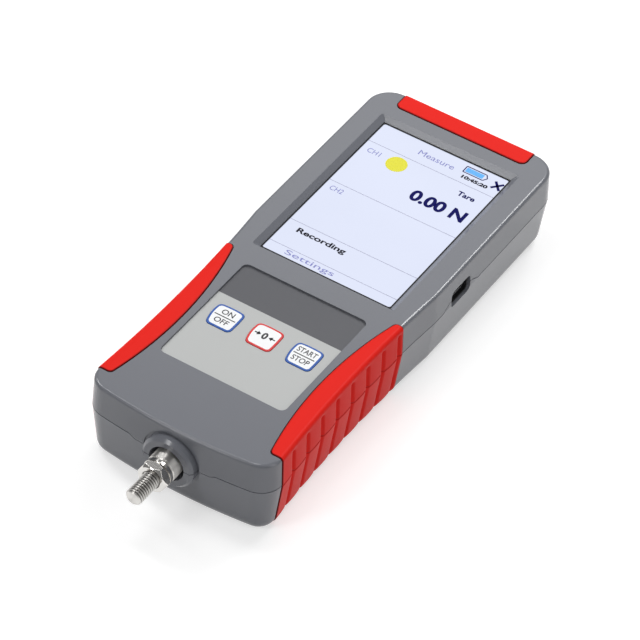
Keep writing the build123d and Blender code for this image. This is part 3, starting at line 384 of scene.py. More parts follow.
def new_group(name, inputs, outputs):
    """An empty shader node group with named sockets: (kind, name, default) each."""
    group = bpy.data.node_groups.new(name, "ShaderNodeTree")
    add = group.interface.new_socket
    for kind, label, default in inputs:
        add(label, in_out="INPUT", socket_type="NodeSocket" + kind).default_value = default
    for kind, label in outputs:
        add(label, in_out="OUTPUT", socket_type="NodeSocket" + kind)
    return group, group.nodes.new("NodeGroupInput"), group.nodes.new("NodeGroupOutput")


def set_inputs(made, values):
    """Sets a node's unlinked input values by name."""
    for name, value in values.items():
        made.inputs[name].default_value = value


def use_group(tree, name, make):
    """A group node in a material, made the first time that any material needs it."""
    made = tree.nodes.new("ShaderNodeGroup")
    made.node_tree = bpy.data.node_groups.get(name) or make(name)
    return made


def node(tree, kind, **values):
    """A node with its properties and its unlinked input values set by name."""
    made = tree.nodes.new(kind)
    for key, value in values.items():
        if hasattr(made, key) and key not in made.inputs:
            setattr(made, key, value)
        else:
            made.inputs[key].default_value = value
    return made


def maths(tree, operation, first, second=None):
    """A Math node; each operand is a socket or a number."""
    made = tree.nodes.new("ShaderNodeMath")
    made.operation = operation
    for i, operand in enumerate((first, second)):
        if operand is None:
            continue
        if isinstance(operand, (int, float)):
            made.inputs[i].default_value = operand
        else:
            tree.links.new(operand, made.inputs[i])
    return made.outputs[0]


def mixed(tree, mask, first, second):
    """Colour that goes from the first to the second as the mask goes from 0 to 1."""
    mix = node(tree, "ShaderNodeMix", data_type="RGBA")
    tree.links.new(mask, mix.inputs[MIX_MASK])
    for place, colour in ((MIX_FIRST, first), (MIX_SECOND, second)):
        if isinstance(colour, bpy.types.NodeSocket):
            tree.links.new(colour, mix.inputs[place])
        else:
            mix.inputs[place].default_value = (*colour, 1)
    return mix.outputs[MIX_RESULT]


def grain_group(name):
    """Moulded grain: fine noise for height and gloss, broad faint clouds for colour."""
    group, given, out = new_group(
        name,
        [
            ("Vector", "Vector", (0, 0, 0)),
            ("Color", "Colour", (0.2, 0.2, 0.2, 1)),
            ("Float", "Grain Scale", 900.0),
            ("Float", "Cloud Scale", 30.0),
            ("Float", "Colour Variation", 0.05),
            ("Float", "Roughness", 0.5),
            ("Float", "Roughness Variation", 0.06),
        ],
        [("Color", "Colour"), ("Float", "Roughness"), ("Float", "Height")],
    )
    link = group.links.new
    fine = node(group, "ShaderNodeTexNoise", Detail=3.0, Roughness=0.6)
    cloud = node(group, "ShaderNodeTexNoise", Detail=2.0, Roughness=0.5)
    for texture, scale in ((fine, "Grain Scale"), (cloud, "Cloud Scale")):
        link(given.outputs["Vector"], texture.inputs["Vector"])
        link(given.outputs[scale], texture.inputs["Scale"])
    swing = maths(group, "SUBTRACT", cloud.outputs["Fac"], 0.5)
    tint = maths(group, "MULTIPLY", swing, given.outputs["Colour Variation"])
    scaled = node(group, "ShaderNodeVectorMath", operation="SCALE")
    link(given.outputs["Colour"], scaled.inputs[0])
    link(maths(group, "ADD", tint, 1.0), scaled.inputs["Scale"])
    link(scaled.outputs[0], out.inputs["Colour"])
    swing = maths(group, "SUBTRACT", fine.outputs["Fac"], 0.5)
    change = maths(group, "MULTIPLY", swing, given.outputs["Roughness Variation"])
    link(maths(group, "ADD", given.outputs["Roughness"], change), out.inputs["Roughness"])
    link(fine.outputs["Fac"], out.inputs["Height"])
    return group


def finish(name, colour, roughness, grain_scale=900.0, bump=0.0, metallic=0.0,
           colour_variation=0.05, roughness_variation=0.06, specular=0.5):
    """A grained material: the shared grain group drives one shader's colour, roughness and bump."""
    material = bpy.data.materials.new(name)
    material.use_nodes = True
    tree = material.node_tree
    shader = tree.nodes["Principled BSDF"]
    set_inputs(shader, {"Metallic": metallic, "Specular IOR Level": specular})
    place = tree.nodes.new("ShaderNodeTexCoord")
    grain = use_group(tree, "moulded_grain", grain_group)
    grain.name = "grain"
    set_inputs(grain, {
        "Colour": (*colour, 1), "Grain Scale": grain_scale, "Colour Variation": colour_variation,
        "Roughness": roughness, "Roughness Variation": roughness_variation,
    })
    tree.links.new(place.outputs["Object"], grain.inputs["Vector"])
    tree.links.new(grain.outputs["Colour"], shader.inputs["Base Color"])
    tree.links.new(grain.outputs["Roughness"], shader.inputs["Roughness"])
    if bump > 0:
        relief = node(tree, "ShaderNodeBump", Strength=bump, Distance=0.05 * MM)
        tree.links.new(grain.outputs["Height"], relief.inputs["Height"])
        tree.links.new(relief.outputs["Normal"], shader.inputs["Normal"])
    return material


def seam_shade_group(name):
    """Colour that turns to a painted shade colour as far as the mesh's own attribute marks painted
    shade.
    """
    group, given, out = new_group(
        name,
        [
            ("Color", "Colour", (0.5, 0.5, 0.5, 1)),
            ("Color", "Dirt", (0.05, 0.05, 0.05, 1)),
            ("Float", "Painted Shade", 0.0),
        ],
        [("Color", "Colour")],
    )
    shaded = mixed(group, *(given.outputs[label] for label in ("Painted Shade", "Colour", "Dirt")))
    group.links.new(shaded, out.inputs["Colour"])
    return group


def paint_seam_shade(material, colour, dirt):
    """Feeds a finish's grain from its colour and from the painted shade colour where its mesh's
    attribute marks painted shade.
    """
    tree = material.node_tree
    painted_shade = node(tree, "ShaderNodeAttribute", attribute_name="painted_shade")
    seam_shade = use_group(tree, "seam_dirt", seam_shade_group)
    set_inputs(seam_shade, {"Colour": (*colour, 1), "Dirt": (*dirt, 1)})
    tree.links.new(painted_shade.outputs["Fac"], seam_shade.inputs["Painted Shade"])
    tree.links.new(seam_shade.outputs["Colour"], tree.nodes["grain"].inputs["Colour"])


def key_border_group(name):
    """Mask of the line round a key: 1 within its width of three bowed sides and a straight one.

    The distance is the corner's radius less the root of the sum of squares of what each side's
    depth lacks of that radius, which rounds the corners.
    """
    group, given, out = new_group(
        name,
        [
            ("Vector", "Vector", (0, 0, 0)),
            ("Float", "Width", 0.0006),
            ("Float", "Corner", 0.0017),
        ],
        [("Float", "Mask")],
    )
    link = group.links.new
    half, bulge, foot = KEY_HALF, 0.35 * MM, 1.2 * MM
    left_corner = (-half + bulge, half - bulge)
    right_corner = (half - bulge / 2, half - bulge)
    sides = [
        (left_corner, (0, half), right_corner),
        (right_corner, (half, 0), (half - bulge / 2, -half)),
        ((-half + foot, -half), (-half, bulge), left_corner),
    ]
    depths = []
    for side in sides:
        centre, radius = circle_through(*side)
        away = node(group, "ShaderNodeVectorMath", operation="DISTANCE")
        away.inputs[1].default_value = (*centre, 0)
        link(given.outputs["Vector"], away.inputs[0])
        depths.append(maths(group, "SUBTRACT", radius, away.outputs["Value"]))
    split = node(group, "ShaderNodeSeparateXYZ")
    link(given.outputs["Vector"], split.inputs[0])
    depths.append(maths(group, "ADD", split.outputs["Y"], half))
    total = 0.0
    for depth in depths:
        short = maths(group, "SUBTRACT", given.outputs["Corner"], depth)
        short = maths(group, "MAXIMUM", short, 0.0)
        total = maths(group, "ADD", maths(group, "MULTIPLY", short, short), total)
    from_edge = maths(group, "SUBTRACT", given.outputs["Corner"], maths(group, "SQRT", total))
    link(maths(group, "LESS_THAN", from_edge, given.outputs["Width"]), out.inputs["Mask"])
    return group


def repaint(names, material):
    """Puts one material in every slot of these CAD nodes."""
    for name in names:
        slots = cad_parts[name].data.materials
        if not len(slots):
            slots.append(material)
        for i in range(len(slots)):
            slots[i] = material


# ---- operators


class GAUGE_OT_case(bpy.types.Operator):
    """Finish of the two case shells, and a black sleeve round the socket that stands in for the
    shade inside the port
    """

    bl_idname = "gauge.case"
    # The port seal in this label is the black sleeve that stands in for the shade inside the port.
    bl_label = "Case shells and port seal"

    def execute(self, context):
        colours, _, _ = settings(context)
        case = finish("case_grey", colours.case, 0.2, grain_scale=1100, bump=0.13,
                      colour_variation=0.04, roughness_variation=0.03)
        repaint(["front_shell", "rear_shell"], case)
        self.port_shade_sleeve()
        return {"FINISHED"}

    def port_shade_sleeve(self):
        """Black sleeve round the socket that stands in for the shade inside the port: a closed
        section carried round a rounded rectangle.

        Each section is (half length, half height, corner) in millimetres and a distance out, so
        the outline is the rectangle's straight sides joined by quarter circles of the corner.
        """
        low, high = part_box("usb_socket")
        middle_y, middle_z, front = (low.y + high.y) / 2, (low.z + high.z) / 2, high.x
        bore, lip, edge = (4.6, 1.7, 0.9), (5.15, 2.65, 1.2), (5.38, 2.88, 1.4)
        sections = ((bore, -1.5), (bore, -0.1), (lip, -0.1), (lip, 1.0), (edge, 1.1), (edge, -1.5))
        turn = np.linspace(0, 2 * math.pi, 64, endpoint=False)
        rows = []
        for outline, out in sections:
            half_y, half_z, corner = (size * MM for size in outline)
            across = np.sign(np.cos(turn)) * (half_y - corner) + corner * np.cos(turn)
            upward = np.sign(np.sin(turn)) * (half_z - corner) + corner * np.sin(turn)
            outward = np.full_like(turn, front + out * MM)
            rows.append(np.stack([outward, middle_y + across, middle_z + upward], axis=-1))
        # Black that stands in for the shade inside the port.
        black = finish("shade_sleeve_black", (0.012, 0.012, 0.013), 0.6, grain_scale=700, bump=0.1,
                       specular=0.2)
        faces = grid_faces(len(sections), len(turn), closed_rows=True, closed_columns=True)
        points = np.concatenate(rows)
        piece = add_mesh("port_shade_sleeve", points, faces, "case", black, "case_grey")
        close_seams(piece.data, 35)


class GAUGE_OT_rubber(bpy.types.Operator):
    """Fluted rubber grips in two halves on each flank, and the plain bumper of the display end"""

    bl_idname = "gauge.rubber"
    bl_label = "Rubber grips and bumper"

    def execute(self, context):
        colours, _, _ = settings(context)
        rubber = finish("rubber_red", colours.rubber, 0.42, grain_scale=800, bump=0.12,
                        colour_variation=0.04, specular=0.08)
        # The rubber turns to this dark red where painted shade is marked in its mesh.
        paint_seam_shade(rubber, colours.rubber, (0.10, 0.004, 0.003))
        self.grips(rubber)
        self.bumper(rubber)
        return {"FINISHED"}

    def grips(self, rubber):
        """Both halves of both grips, between two shallow arcs: the leaf's edge and the waist."""
        low, high = GRIP_LOW, GRIP_HIGH
        along = with_fine_ends(low.y, high.y, 180)
        belly = (low.y + high.y) / 2 - 1.65 * MM
        leaf = ((low.x + 3.8 * MM, low.y), (low.x, belly), (low.x + 5.0 * MM, high.y))
        inner = bowed_line(leaf, along) + self.corner(along, 1.4 * MM)
        waist_low, waist_top, waist_depth = -88.5 * MM, 10.0 * MM, 2.1 * MM
        side = CASE_HIGH.x + RUBBER_PROUD
        waist_middle = (side - waist_depth, (waist_low + waist_top) / 2)
        outer = bowed_line(((side, waist_low), waist_middle, (side, waist_top)), along)
        front = self.front_profile(inner, outer, high.z, low.z)
        rear = self.rear_profile(inner, outer)
        for turn, name in ((1, "right"), (-1, "left")):
            self.pad(f"grip_{name}_front", along, front, turn, rubber)
            self.pad(f"grip_{name}_rear", along, rear, turn, rubber)

    def bumper(self, rubber):
        """The bumper: the grips' front profile along a straight end of the case, with no flutes."""
        low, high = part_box("top_bumper")
        along = with_fine_ends(low.x, high.x, 60)
        inner = low.y + self.corner(along, 2.4 * MM)
        outer = np.full_like(along, CASE_HIGH.y + RUBBER_PROUD)
        profile = self.front_profile(inner, outer, high.z, low.z)
        self.pad("top_bumper", along, profile, 0, rubber)

    def corner(self, along, radius):
        """Setback of the inner border at its two rounded ends."""
        near_end = np.minimum(along - along[0], along[-1] - along)
        return rounded_drop(near_end, radius)

    def front_profile(self, inner, outer, top, low):
        """Rows of (across, height, normal across, normal up, distance to border).

        From the leaf's edge level to the edge round, a quarter turn about the round's centre,
        then down the drafted side to the parting.
        """
        radius, lean = 1.55 * MM, math.radians(2.5)
        level_steps, round_steps, side_steps = 8, 8, 26
        centre_z = top - radius
        centre = outer - (centre_z - PARTING_Z) * math.tan(lean) - radius / math.cos(lean)
        rows = []
        for step in with_fine_ends(0, 1, level_steps, (0.01, 0.03, 0.06))[:-1]:
            across = inner + step * (centre - inner)
            rows.append((across, np.full_like(across, top), 0.0, 1.0, across - inner))
        for turn in np.linspace(0, math.pi / 2 - lean, round_steps)[:-1]:
            across = centre + radius * math.sin(turn)
            height = np.full_like(across, centre_z + radius * math.cos(turn))
            rows.append((across, height, math.sin(turn), math.cos(turn), height - low))
        for height in with_fine_ends(low, centre_z + radius * math.sin(lean), side_steps)[::-1]:
            across = outer - (height - PARTING_Z) * math.tan(lean)
            height = np.full_like(across, height)
            rows.append((across, height, math.cos(lean), math.sin(lean), height - low))
        return rows

    def rear_profile(self, inner, outer):
        """The same down the drafted side, round the bottom edge and in to the leaf's edge.

        On the bottom round the height is the radius less the root of (radius² - offset²).
        """
        radius, lean = 4.85 * MM, math.radians(6)
        side_steps, round_steps, level_steps = 26, 12, 6
        centre = outer - (PARTING_Z - radius) * math.tan(lean) - radius / math.cos(lean)
        rows = []
        foot = radius - radius * math.sin(lean)
        for height in with_fine_ends(foot, PARTING_Z, side_steps)[::-1]:
            across = outer - (PARTING_Z - height) * math.tan(lean)
            height = np.full_like(across, height)
            rows.append((across, height, math.cos(lean), -math.sin(lean), PARTING_Z - height))
        edges = [np.maximum(centre + radius * math.cos(turn), inner)
                 for turn in np.linspace(lean, math.pi / 2, round_steps)[1:]]
        edges += [inner + step * np.maximum(centre - inner, 0)
                  for step in np.linspace(1, 0, level_steps)[1:]]
        for across in edges:
            sideways = np.clip((across - centre) / radius, 0, 1)
            drop = np.sqrt(1 - sideways**2)
            border = np.maximum(across - inner, 0)
            rows.append((across, radius - radius * drop, sideways, -drop, border))
        return rows

    def flutes(self, along, height):
        """Depth of the flutes: half of (1 + cos) of the distance from the nearest flute's line.

        Between two flutes the panel is bowed: it sinks with the square of the distance from its
        middle, and both end a little below the leaf.
        """
        first, pitch, count = GRIP_LOW.y + 7.0 * MM, 8.93 * MM, 8
        depth, half_width, bow = 1.0 * MM, 1.45 * MM, 0.3 * MM
        head, fade = CASE_LOW.z + 28.2 * MM, 2 * MM
        number = np.clip(np.round((along - first) / pitch), 0, count - 1)
        from_line = along - (first + number * pitch)
        away = np.hypot(from_line, np.maximum(height - head, 0))
        groove = depth * (0.5 + 0.5 * np.cos(np.pi * np.minimum(away / half_width, 1)))
        from_middle = 1 - 2 * np.minimum(np.abs(from_line) / pitch, 0.5)
        below_head = np.clip((head - height) / fade + 1, 0, 1)
        return np.maximum(groove, bow * from_middle**2 * below_head)

    def pad(self, name, along, profile, turn, material):
        """A rubber skin: each point lies its depth behind the profile, along the normal.

        turn is 1 for the right flank, -1 for its mirror image and 0 for the end of the case,
        whose bumper has no flutes.
        """
        across, height, normal_across, normal_up, border = (
            np.stack([np.broadcast_to(row[i], along.shape) for row in profile]) for i in range(5)
        )
        ends = np.minimum(along - along[0], along[-1] - along)
        sink = rounded_drop(np.minimum(border, ends), RUBBER_ROUND)
        if turn:
            sink = sink + self.flutes(along, height) * np.clip((normal_across - 0.45) / 0.5, 0, 1)
        skins = []
        for depth in (sink, np.full_like(sink, RUBBER_THICKNESS)):
            t = across - depth * normal_across
            z = height - depth * normal_up
            placed = (turn * t, along + 0 * t, z) if turn else (along + 0 * t, t, z)
            skins.append(np.stack(placed, axis=-1).reshape(-1, 3))
        rows, columns = across.shape
        outside = np.array(grid_faces(rows, columns))
        inside = outside[:, ::-1] + rows * columns
        rim = np.concatenate([
            np.arange(columns),
            np.arange(2, rows + 1) * columns - 1,
            (rows - 1) * columns + np.arange(columns - 2, -1, -1),
            np.arange(rows - 2, 0, -1) * columns,
        ])
        following = np.roll(rim, -1)
        wall = [rim, following, following + rows * columns, rim + rows * columns]
        faces = np.concatenate([outside, inside, np.stack(wall, axis=-1)]).tolist()
        piece = add_mesh(name + "_rubber", np.concatenate(skins), faces, "case", material,
                         "rubber_red", smooth=True)
        # Painted shade: darker along the leaf's edge and the two ends, and about a third as strong
        # along the parting edge of the side; the hidden inner skin is painted fully shaded.
        seam_width, side_share = 0.45 * MM, 0.35
        at_border = np.clip(1 - border / seam_width, 0, 1)
        at_border = at_border * np.where(np.abs(normal_across) > 0.9, side_share, 1)
        seam_shade = np.maximum(at_border, np.clip(1 - ends / seam_width, 0, 1))
        store_painted_shade(piece.data, np.concatenate([seam_shade.ravel(), np.ones(seam_shade.size)]))
        close_seams(piece.data, 50)
        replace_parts(piece, name)


class GAUGE_OT_screen(bpy.types.Operator):
    """Lit screen behind its glass, with reading, clock, charge and menu"""

    bl_idname = "gauge.screen"
    bl_label = "Screen"

    def execute(self, context):
        colours, sizes, _ = settings(context)
        repaint(["touch_panel"], self.lit_glass(colours.screen))
        paints = {}
        for name, colour, roughness in (
            ("navy", colours.navy, 0.2), ("lilac", colours.lilac, 0.15),
            ("dark", (0.01, 0.01, 0.018), 0.2), ("yellow", (0.74, 0.71, 0.07), 0.15),
            ("sky", (0.155, 0.46, 0.9), 0.15), ("line", (0.42, 0.43, 0.56), 0.15),
        ):
            paints[name] = finish("screen_" + name, colour, roughness, roughness_variation=0.02,
                                  specular=0.03)
        for name, words, box, paint, weight in SCREEN_WORDS:
            lettering(name, words, box, SCREEN_TOP, "case", paints[paint], "screen_glass", weight)
        turns = np.linspace(0, 2 * math.pi, 64, endpoint=False)
        circle = np.column_stack([np.cos(turns), np.sin(turns)])
        charge = np.array(CHARGE_OUTLINE)
        shapes = (
            ("status_disc", "yellow", [circle * DISC_RADIUS * MM + np.array(DISC_CENTRE) * MM]),
            ("row_lines", "line", [
                bar(-ROW_HALF_LENGTH, ROW_HALF_LENGTH, y - ROW_HALF_WIDTH, y + ROW_HALF_WIDTH)
                for y in ROW_PLACES
            ]),
            ("charge_fill", "sky", [bar(*CHARGE_FILL)]),
            ("charge_outline", "navy", [
                stroke(start, end, CHARGE_LINE_WIDTH)
                for start, end in zip(charge, np.roll(charge, -1, axis=0))
            ]),
            ("close_cross", "navy", [stroke(*ends, CROSS_WIDTH) for ends in CROSS_STROKES]),
        )
        for name, paint, outlines in shapes:
            ink = [prism(outline, SCREEN_TOP, SCREEN_TOP + sizes.print_thickness)
                   for outline in outlines]
            add_mesh(name, *joined(ink), "case", paints[paint], "screen_glass")
        return {"FINISHED"}

    def lit_glass(self, colour):
        """Glass over a lit panel, whose glow shows through, faintly uneven as a backlight is."""
        material = finish("screen_glow", colour, 0.22, grain_scale=60, colour_variation=0.06,
                          roughness_variation=0.02, specular=0.3)
        tree = material.node_tree
        shader = tree.nodes["Principled BSDF"]
        for link in list(shader.inputs["Base Color"].links):
            tree.links.remove(link)
        set_inputs(shader, {"Base Color": (0.02, 0.02, 0.025, 1), "Emission Strength": 1.0})
        tree.links.new(tree.nodes["grain"].outputs["Colour"], shader.inputs["Emission Color"])
        return material


class GAUGE_OT_keypad(bpy.types.Operator):
    """Label of two greys, and the three printed keys"""

    bl_idname = "gauge.keypad"
    bl_label = "Keypad"

    def execute(self, context):
        colours, sizes, _ = settings(context)
        self.paint_label(colours, sizes)
        for key, border in KEY_BORDERS:
            self.paint_key(key, getattr(colours, border), colours.key, sizes.border_width)
        ink = finish("key_ink", (0.05, 0.05, 0.055), 0.4, specular=0.25)
        for key, words, widths in KEY_LEGENDS:
            self.legend(key, words, widths, ink, sizes.print_thickness)
        self.zero_mark("key_zero", ink, sizes.print_thickness)
        return {"FINISHED"}

    def key_top(self, key):
        """Middle of a key seen from above, in millimetres, and the height of its face."""
        low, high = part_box(key)
        return (low.x + high.x) / 2 / MM, (low.y + high.y) / 2 / MM, high.z

    def legend(self, key, words, widths, ink, thickness):
        """Two words on a key, with a line between them."""
        x, y, top = self.key_top(key)
        half_height, weight = 1.15, 0.012
        for word, width, shift in zip(words, widths, (2.2, -2.0)):
            middle = y + shift
            box = (x - width / 2, x + width / 2, middle - half_height, middle + half_height)
            lettering("legend_" + word.lower(), word, box, top, key, ink, "key_white", weight)
        line = prism(bar(x - 3.9, x + 3.9, y - 0.1, y + 0.3), top, top + thickness)
        add_mesh(key + "_rule", *line, key, ink, "key_white")

    def zero_mark(self, key, ink, thickness):
        """A nought between two arrows that point at it."""
        x, y, top = self.key_top(key)
        box = (x - 0.95, x + 0.95, y - 1.1, y + 2.0)
        lettering("zero_digit", "0", box, top, key, ink, "key_white", 0.045)
        height = y + 0.5
        head_length, head_half, shaft_end, shaft_width = 1.3, 0.95, 0.6, 0.5
        arrows = []
        for side in (-1, 1):
            tip, tail = x + side * 1.45, x + side * 3.8
            neck = tip + side * head_length
            shaft = stroke((tail, height), (tip + side * shaft_end, height), shaft_width)
            head = [(tip, height), (neck, height + head_half), (neck, height - head_half)]
            anticlockwise = np.array(head)[::-side] * MM
            arrows += [prism(shaft, top, top + thickness),
                       prism(anticlockwise, top, top + thickness)]
        add_mesh("zero_arrows", *joined(arrows), key, ink, "key_white")

    def paint_label(self, colours, sizes):
        """Label grey below the band's edge, band grey above it, along the case."""
        label = finish("label_print", colours.label, 0.5, grain_scale=700, bump=0.1,
                       colour_variation=0.03)
        tree = label.node_tree
        split = node(tree, "ShaderNodeSeparateXYZ")
        tree.links.new(tree.nodes["Texture Coordinate"].outputs["Object"], split.inputs[0])
        above = maths(tree, "GREATER_THAN", split.outputs["Y"], sizes.band_edge)
        colour = mixed(tree, above, colours.label, colours.band)
        tree.links.new(colour, tree.nodes["grain"].inputs["Colour"])
        repaint(["keypad_overlay"], label)

    def paint_key(self, name, border, face, width):
        """White face inside a coloured line that follows the key's outline."""
        material = finish(name + "_print", face, 0.45, grain_scale=700, colour_variation=0.02)
        tree = material.node_tree
        low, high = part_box(name)
        centre = (high.x - KEY_FLANGE - KEY_HALF, (low.y + high.y) / 2)
        shift = node(tree, "ShaderNodeMapping", vector_type="POINT", Scale=(1, 1, 0),
                     Location=(-centre[0], -centre[1], 0))
        place = tree.nodes["Texture Coordinate"].outputs["Object"]
        tree.links.new(place, shift.inputs["Vector"])
        edge = use_group(tree, "key_border", key_border_group)
        set_inputs(edge, {"Width": width})
        tree.links.new(shift.outputs["Vector"], edge.inputs["Vector"])
        colour = mixed(tree, edge.outputs["Mask"], face, border)
        tree.links.new(colour, tree.nodes["grain"].inputs["Colour"])
        repaint([name], material)


class GAUGE_OT_metal(bpy.types.Operator):
    """Turned spindle with its threaded stud, and the chamfered lock nut"""

    bl_idname = "gauge.metal"
    bl_label = "Spindle and nut"

    def execute(self, context):
        colours, sizes, _ = settings(context)
        plated = self.nickel("bright_nickel", colours.nickel, 0.14)
        turned = self.nickel("turned_nickel", colours.nickel, 0.42)
        tree = turned.node_tree
        shader = tree.nodes["Principled BSDF"]
        set_inputs(shader, {"Anisotropic": 0.9, "Anisotropic Rotation": 0.25})
        round_axis = node(tree, "ShaderNodeTangent", direction_type="RADIAL", axis="Y")
        tree.links.new(round_axis.outputs["Tangent"], shader.inputs["Tangent"])
        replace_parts(self.spindle(sizes, turned), "measuring_spindle")
        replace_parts(self.nut(plated), "lock_nut")
        return {"FINISHED"}

    def nickel(self, name, colour, roughness):
        """Nickel with painted shade where its mesh's attribute marks it."""
        material = finish(name, colour, roughness, grain_scale=300, metallic=1.0,
                          colour_variation=0.1)
        # Painted shade colour for the thread's roots and for the nut's countersink and hole.
        paint_seam_shade(material, colour, (0.05, 0.045, 0.04))
        return material

    def turned_mesh(self, name, along, radius, painted_shade, angle, body, material):
        """Closed surface with radius r(s, angle) about the spindle's axis, s rising to the tip."""
        x = radius * np.cos(angle)
        z = radius * np.sin(angle) + SPINDLE_Z
        y = -np.broadcast_to(along[:, None], x.shape)
        points = np.stack([x, y, z], axis=-1).reshape(-1, 3)
        faces = grid_faces(len(along), len(angle), closed_columns=True)
        piece = add_mesh(name, points, faces, body, material, "steel_bright", smooth=True)
        store_painted_shade(piece.data, np.broadcast_to(painted_shade, x.shape))
        close_seams(piece.data, 28)
        return piece

    def nut(self, material):
        """Hexagon cut by a cone at both faces, on a round shoulder, with a countersunk hole.

        Across the flats r = half / cos(angle from the nearest flat's middle), and the cone is
        r = rim + slope * distance from the nearer face.
        """
        face, back = -NUT_LOW.y, -NUT_HIGH.y
        half = (NUT_HIGH.z - NUT_LOW.z) / 2
        shoulder, shoulder_edge, hole, sink, sink_depth = (
            size * MM for size in (5.2, 0.3, 2.5, 3.4, 0.9)
        )
        rim, slope, hole_shade = half - 0.25 * MM, 0.9, 0.8
        hex_back = back + 1.5 * MM
        turns, steps, sixth = 144, 40, math.pi / 3
        angle = np.linspace(0, 2 * math.pi, turns, endpoint=False)
        off_flat = (angle - math.pi / 2 + sixth / 2) % sixth - sixth / 2
        hexagon = half / np.cos(off_flat)
        along = np.linspace(hex_back, face, steps)
        cone = rim + np.minimum(along - hex_back, face - along) * slope
        body = np.minimum(hexagon[None, :], cone[:, None])
        start = [(back, hole), (back, shoulder - shoulder_edge), (back + shoulder_edge, shoulder),
                 (hex_back, shoulder)]
        end = [(face, sink), (face - sink_depth, hole + 0.05 * MM), (back, hole)]
        places = [[place for place, _ in rows] for rows in (start, end)]
        rounds = [np.full((len(rows), turns), [[r] for _, r in rows]) for rows in (start, end)]
        along = np.concatenate([places[0], along, places[1]])
        radius = np.vstack([rounds[0], body, rounds[1]])
        # Painted shade in the countersink and the hole.
        painted_shade = np.zeros((len(along), 1))
        painted_shade[-2:] = hole_shade
        return self.turned_mesh("chamfered_nut", along, radius, painted_shade, angle, "lock_nut", material)

    def spindle(self, sizes, material):
        """A surface of turning about the spindle's axis: radius r(s) at distance s to the tip.

        On the stud r = R - depth * |triangle((s - pitch * turn) / pitch)|, so the groove winds
        round once per pitch; the tip and the neck fade it out.
        """
        tip, tail = -SPINDLE_LOW.y, -SPINDLE_HIGH.y
        shank_radius, stud_radius, tail_radius, neck_radius = (
            size * MM for size in (5.2, 3.0, 2.95, 2.4)
        )
        shank_start, shoulder, start = 80.5 * MM, -NUT_HIGH.y - 0.05 * MM, 100.1 * MM
        edge, chamfer, run_in = 0.3 * MM, 0.6 * MM, 0.6 * MM
        turns, steps = 96, 300
        angle = np.linspace(0, 2 * math.pi, turns, endpoint=False)
        plain = [(tail, 0.0), (tail, tail_radius), (shank_start, tail_radius),
                 (shank_start, shank_radius), (shoulder - edge, shank_radius),
                 (shoulder, shank_radius - edge), (shoulder, neck_radius)]
        along = np.linspace(start, tip, steps)
        phase = along[:, None] / sizes.thread_pitch - angle[None, :] / (2 * math.pi)
        crest_width, flank = 0.1, 1.15
        groove = np.clip(np.abs(2 * (phase % 1.0) - 1) * flank - crest_width, 0, 1)
        tip_limit = stud_radius - chamfer * np.clip((along - (tip - chamfer)) / chamfer, 0, 1)
        from_neck = np.clip((along - start) / run_in, 0, 1)
        neck_limit = neck_radius + (stud_radius - neck_radius) * from_neck
        limit = np.minimum(tip_limit, neck_limit)[:, None]
        radius = np.minimum(stud_radius - sizes.thread_depth * groove, limit)
        # Painted shade: darker the deeper a point lies in the thread's groove.
        painted_shade = np.clip(1.3 * (limit - radius) / sizes.thread_depth - 0.15, 0, 1) ** 1.2
        shank, centre = np.full((len(plain), turns), [[r] for _, r in plain]), np.zeros((1, turns))
        along = np.concatenate([[place for place, _ in plain], along, [tip]])
        radius = np.vstack([shank, radius, centre])
        painted_shade = np.vstack([np.zeros_like(shank), painted_shade, centre])
        return self.turned_mesh("threaded_spindle", along, radius, painted_shade, angle, "spindle", material)


class GAUGE_OT_inside(bpy.types.Operator):
    """Finishes of everything behind the shells"""

    bl_idname = "gauge.inside"
    bl_label = "Inside pieces"

    def execute(self, context):
        for name, colour, roughness, others, nodes in INSIDE_FINISHES:
            repaint(nodes, finish(name, colour, roughness, **others))
        return {"FINISHED"}


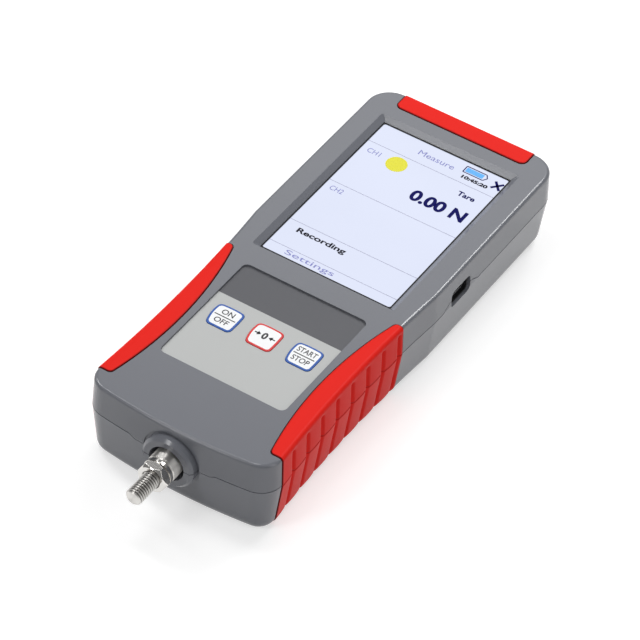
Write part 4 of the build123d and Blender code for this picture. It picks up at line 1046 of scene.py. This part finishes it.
class GAUGE_OT_stage(bpy.types.Operator):
    """White floor, soft light and the camera"""

    bl_idname = "gauge.stage"
    bl_label = "Stage"

    def execute(self, context):
        _, _, stage = settings(context)
        self.camera(context, stage)
        self.floor()
        self.lights(context)
        context.scene.view_settings.view_transform = "Standard"
        return {"FINISHED"}

    def camera(self, context, stage):
        """Camera that looks along its azimuth and elevation at the middle of the case top."""
        azimuth, elevation, roll = stage.azimuth, stage.elevation, stage.roll
        level = math.cos(elevation)
        back = Vector((math.sin(azimuth) * level, -math.cos(azimuth) * level, math.sin(elevation)))
        right = Vector((math.cos(azimuth), math.sin(azimuth), 0))
        up = back.cross(right)
        turned_right = right * math.cos(roll) + up * math.sin(roll)
        turned_up = up * math.cos(roll) - right * math.sin(roll)
        rotation = Matrix((turned_right, turned_up, back)).transposed()
        top_centre = Vector((-0.52 * MM, 0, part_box("front_shell")[1].z))
        place = top_centre + rotation @ Vector((-stage.aim[0], -stage.aim[1], stage.distance))
        data = bpy.data.cameras.new("camera")
        data.lens = stage.lens
        data.sensor_width = 36
        data.clip_end = 10
        camera = add_object("camera", data)
        camera.matrix_world = Matrix.Translation(place) @ rotation.to_4x4()
        context.scene.camera = camera

    def floor(self):
        """Wide pale floor that keeps the shadow; camera, mirror and glass rays see it lifted."""
        size, drop = 3.0, 0.01 * MM
        grey, lift_strength = 0.62, 0.56
        corners = [(-size, -size, -drop), (size, -size, -drop), (size, size, -drop),
                   (-size, size, -drop)]
        mesh = bpy.data.meshes.new("floor")
        mesh.from_pydata(corners, [], [[0, 1, 2, 3]])
        material = bpy.data.materials.new("floor_white")
        material.use_nodes = True
        tree = material.node_tree
        shader = tree.nodes["Principled BSDF"]
        set_inputs(shader, {
            "Base Color": (grey, grey, grey, 1), "Roughness": 0.9, "Specular IOR Level": 0.1,
        })
        path = tree.nodes.new("ShaderNodeLightPath").outputs
        seen = maths(tree, "MAXIMUM", path["Is Camera Ray"], path["Is Glossy Ray"])
        seen = maths(tree, "MAXIMUM", seen, path["Is Transmission Ray"])
        lift = tree.nodes.new("ShaderNodeEmission")
        tree.links.new(maths(tree, "MULTIPLY", seen, lift_strength), lift.inputs["Strength"])
        both = tree.nodes.new("ShaderNodeAddShader")
        tree.links.new(shader.outputs[0], both.inputs[0])
        tree.links.new(lift.outputs[0], both.inputs[1])
        tree.links.new(both.outputs[0], tree.nodes["Material Output"].inputs["Surface"])
        mesh.materials.append(material)
        add_object("floor", mesh)

    def lights(self, context):
        """Softboxes on all sides, each turned to the case's middle, and an even white world."""
        world = bpy.data.worlds.new("studio")
        context.scene.world = world
        world.use_nodes = True
        background = world.node_tree.nodes["Background"]
        set_inputs(background, {"Color": (1, 1, 1, 1), "Strength": WORLD_STRENGTH})
        for name, place, size, power in SOFTBOXES:
            data = bpy.data.lights.new(name, "AREA")
            data.shape = "RECTANGLE"
            data.size, data.size_y = size
            data.energy = power
            light = add_object(name, data)
            light.location = place
            light.rotation_euler = (-Vector(place)).to_track_quat("-Z", "Y").to_euler()


class GAUGE_PT_panel(bpy.types.Panel):
    """Lists the gauge's settings and its operators."""

    bl_idname = "GAUGE_PT_panel"
    bl_label = "Force gauge"
    bl_space_type = "VIEW_3D"
    bl_region_type = "UI"
    bl_category = "Force gauge"

    def draw(self, context):
        for group in settings(context):
            for name in group.bl_rna.properties.keys():
                if name not in ("rna_type", "name"):
                    self.layout.prop(group, name)
        for operator in OPERATORS:
            self.layout.operator(operator.bl_idname)


OPERATORS = (
    GAUGE_OT_case,
    GAUGE_OT_rubber,
    GAUGE_OT_screen,
    GAUGE_OT_keypad,
    GAUGE_OT_metal,
    GAUGE_OT_inside,
    GAUGE_OT_stage,
)
GROUPS = (GaugeColours, GaugeSizes, GaugeStage)


def register():
    for cls in GROUPS + OPERATORS + (GAUGE_PT_panel,):
        bpy.utils.register_class(cls)
    bpy.types.Scene.gauge_colours = bpy.props.PointerProperty(type=GaugeColours)
    bpy.types.Scene.gauge_sizes = bpy.props.PointerProperty(type=GaugeSizes)
    bpy.types.Scene.gauge_stage = bpy.props.PointerProperty(type=GaugeStage)


def unregister():
    del bpy.types.Scene.gauge_stage
    del bpy.types.Scene.gauge_sizes
    del bpy.types.Scene.gauge_colours
    for cls in reversed(GROUPS + OPERATORS + (GAUGE_PT_panel,)):
        bpy.utils.unregister_class(cls)


def main():
    """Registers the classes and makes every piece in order."""
    register()
    bpy.ops.gauge.case()
    bpy.ops.gauge.rubber()
    bpy.ops.gauge.screen()
    bpy.ops.gauge.keypad()
    bpy.ops.gauge.metal()
    bpy.ops.gauge.inside()
    bpy.ops.gauge.stage()


if __name__ == "__main__":
    main()
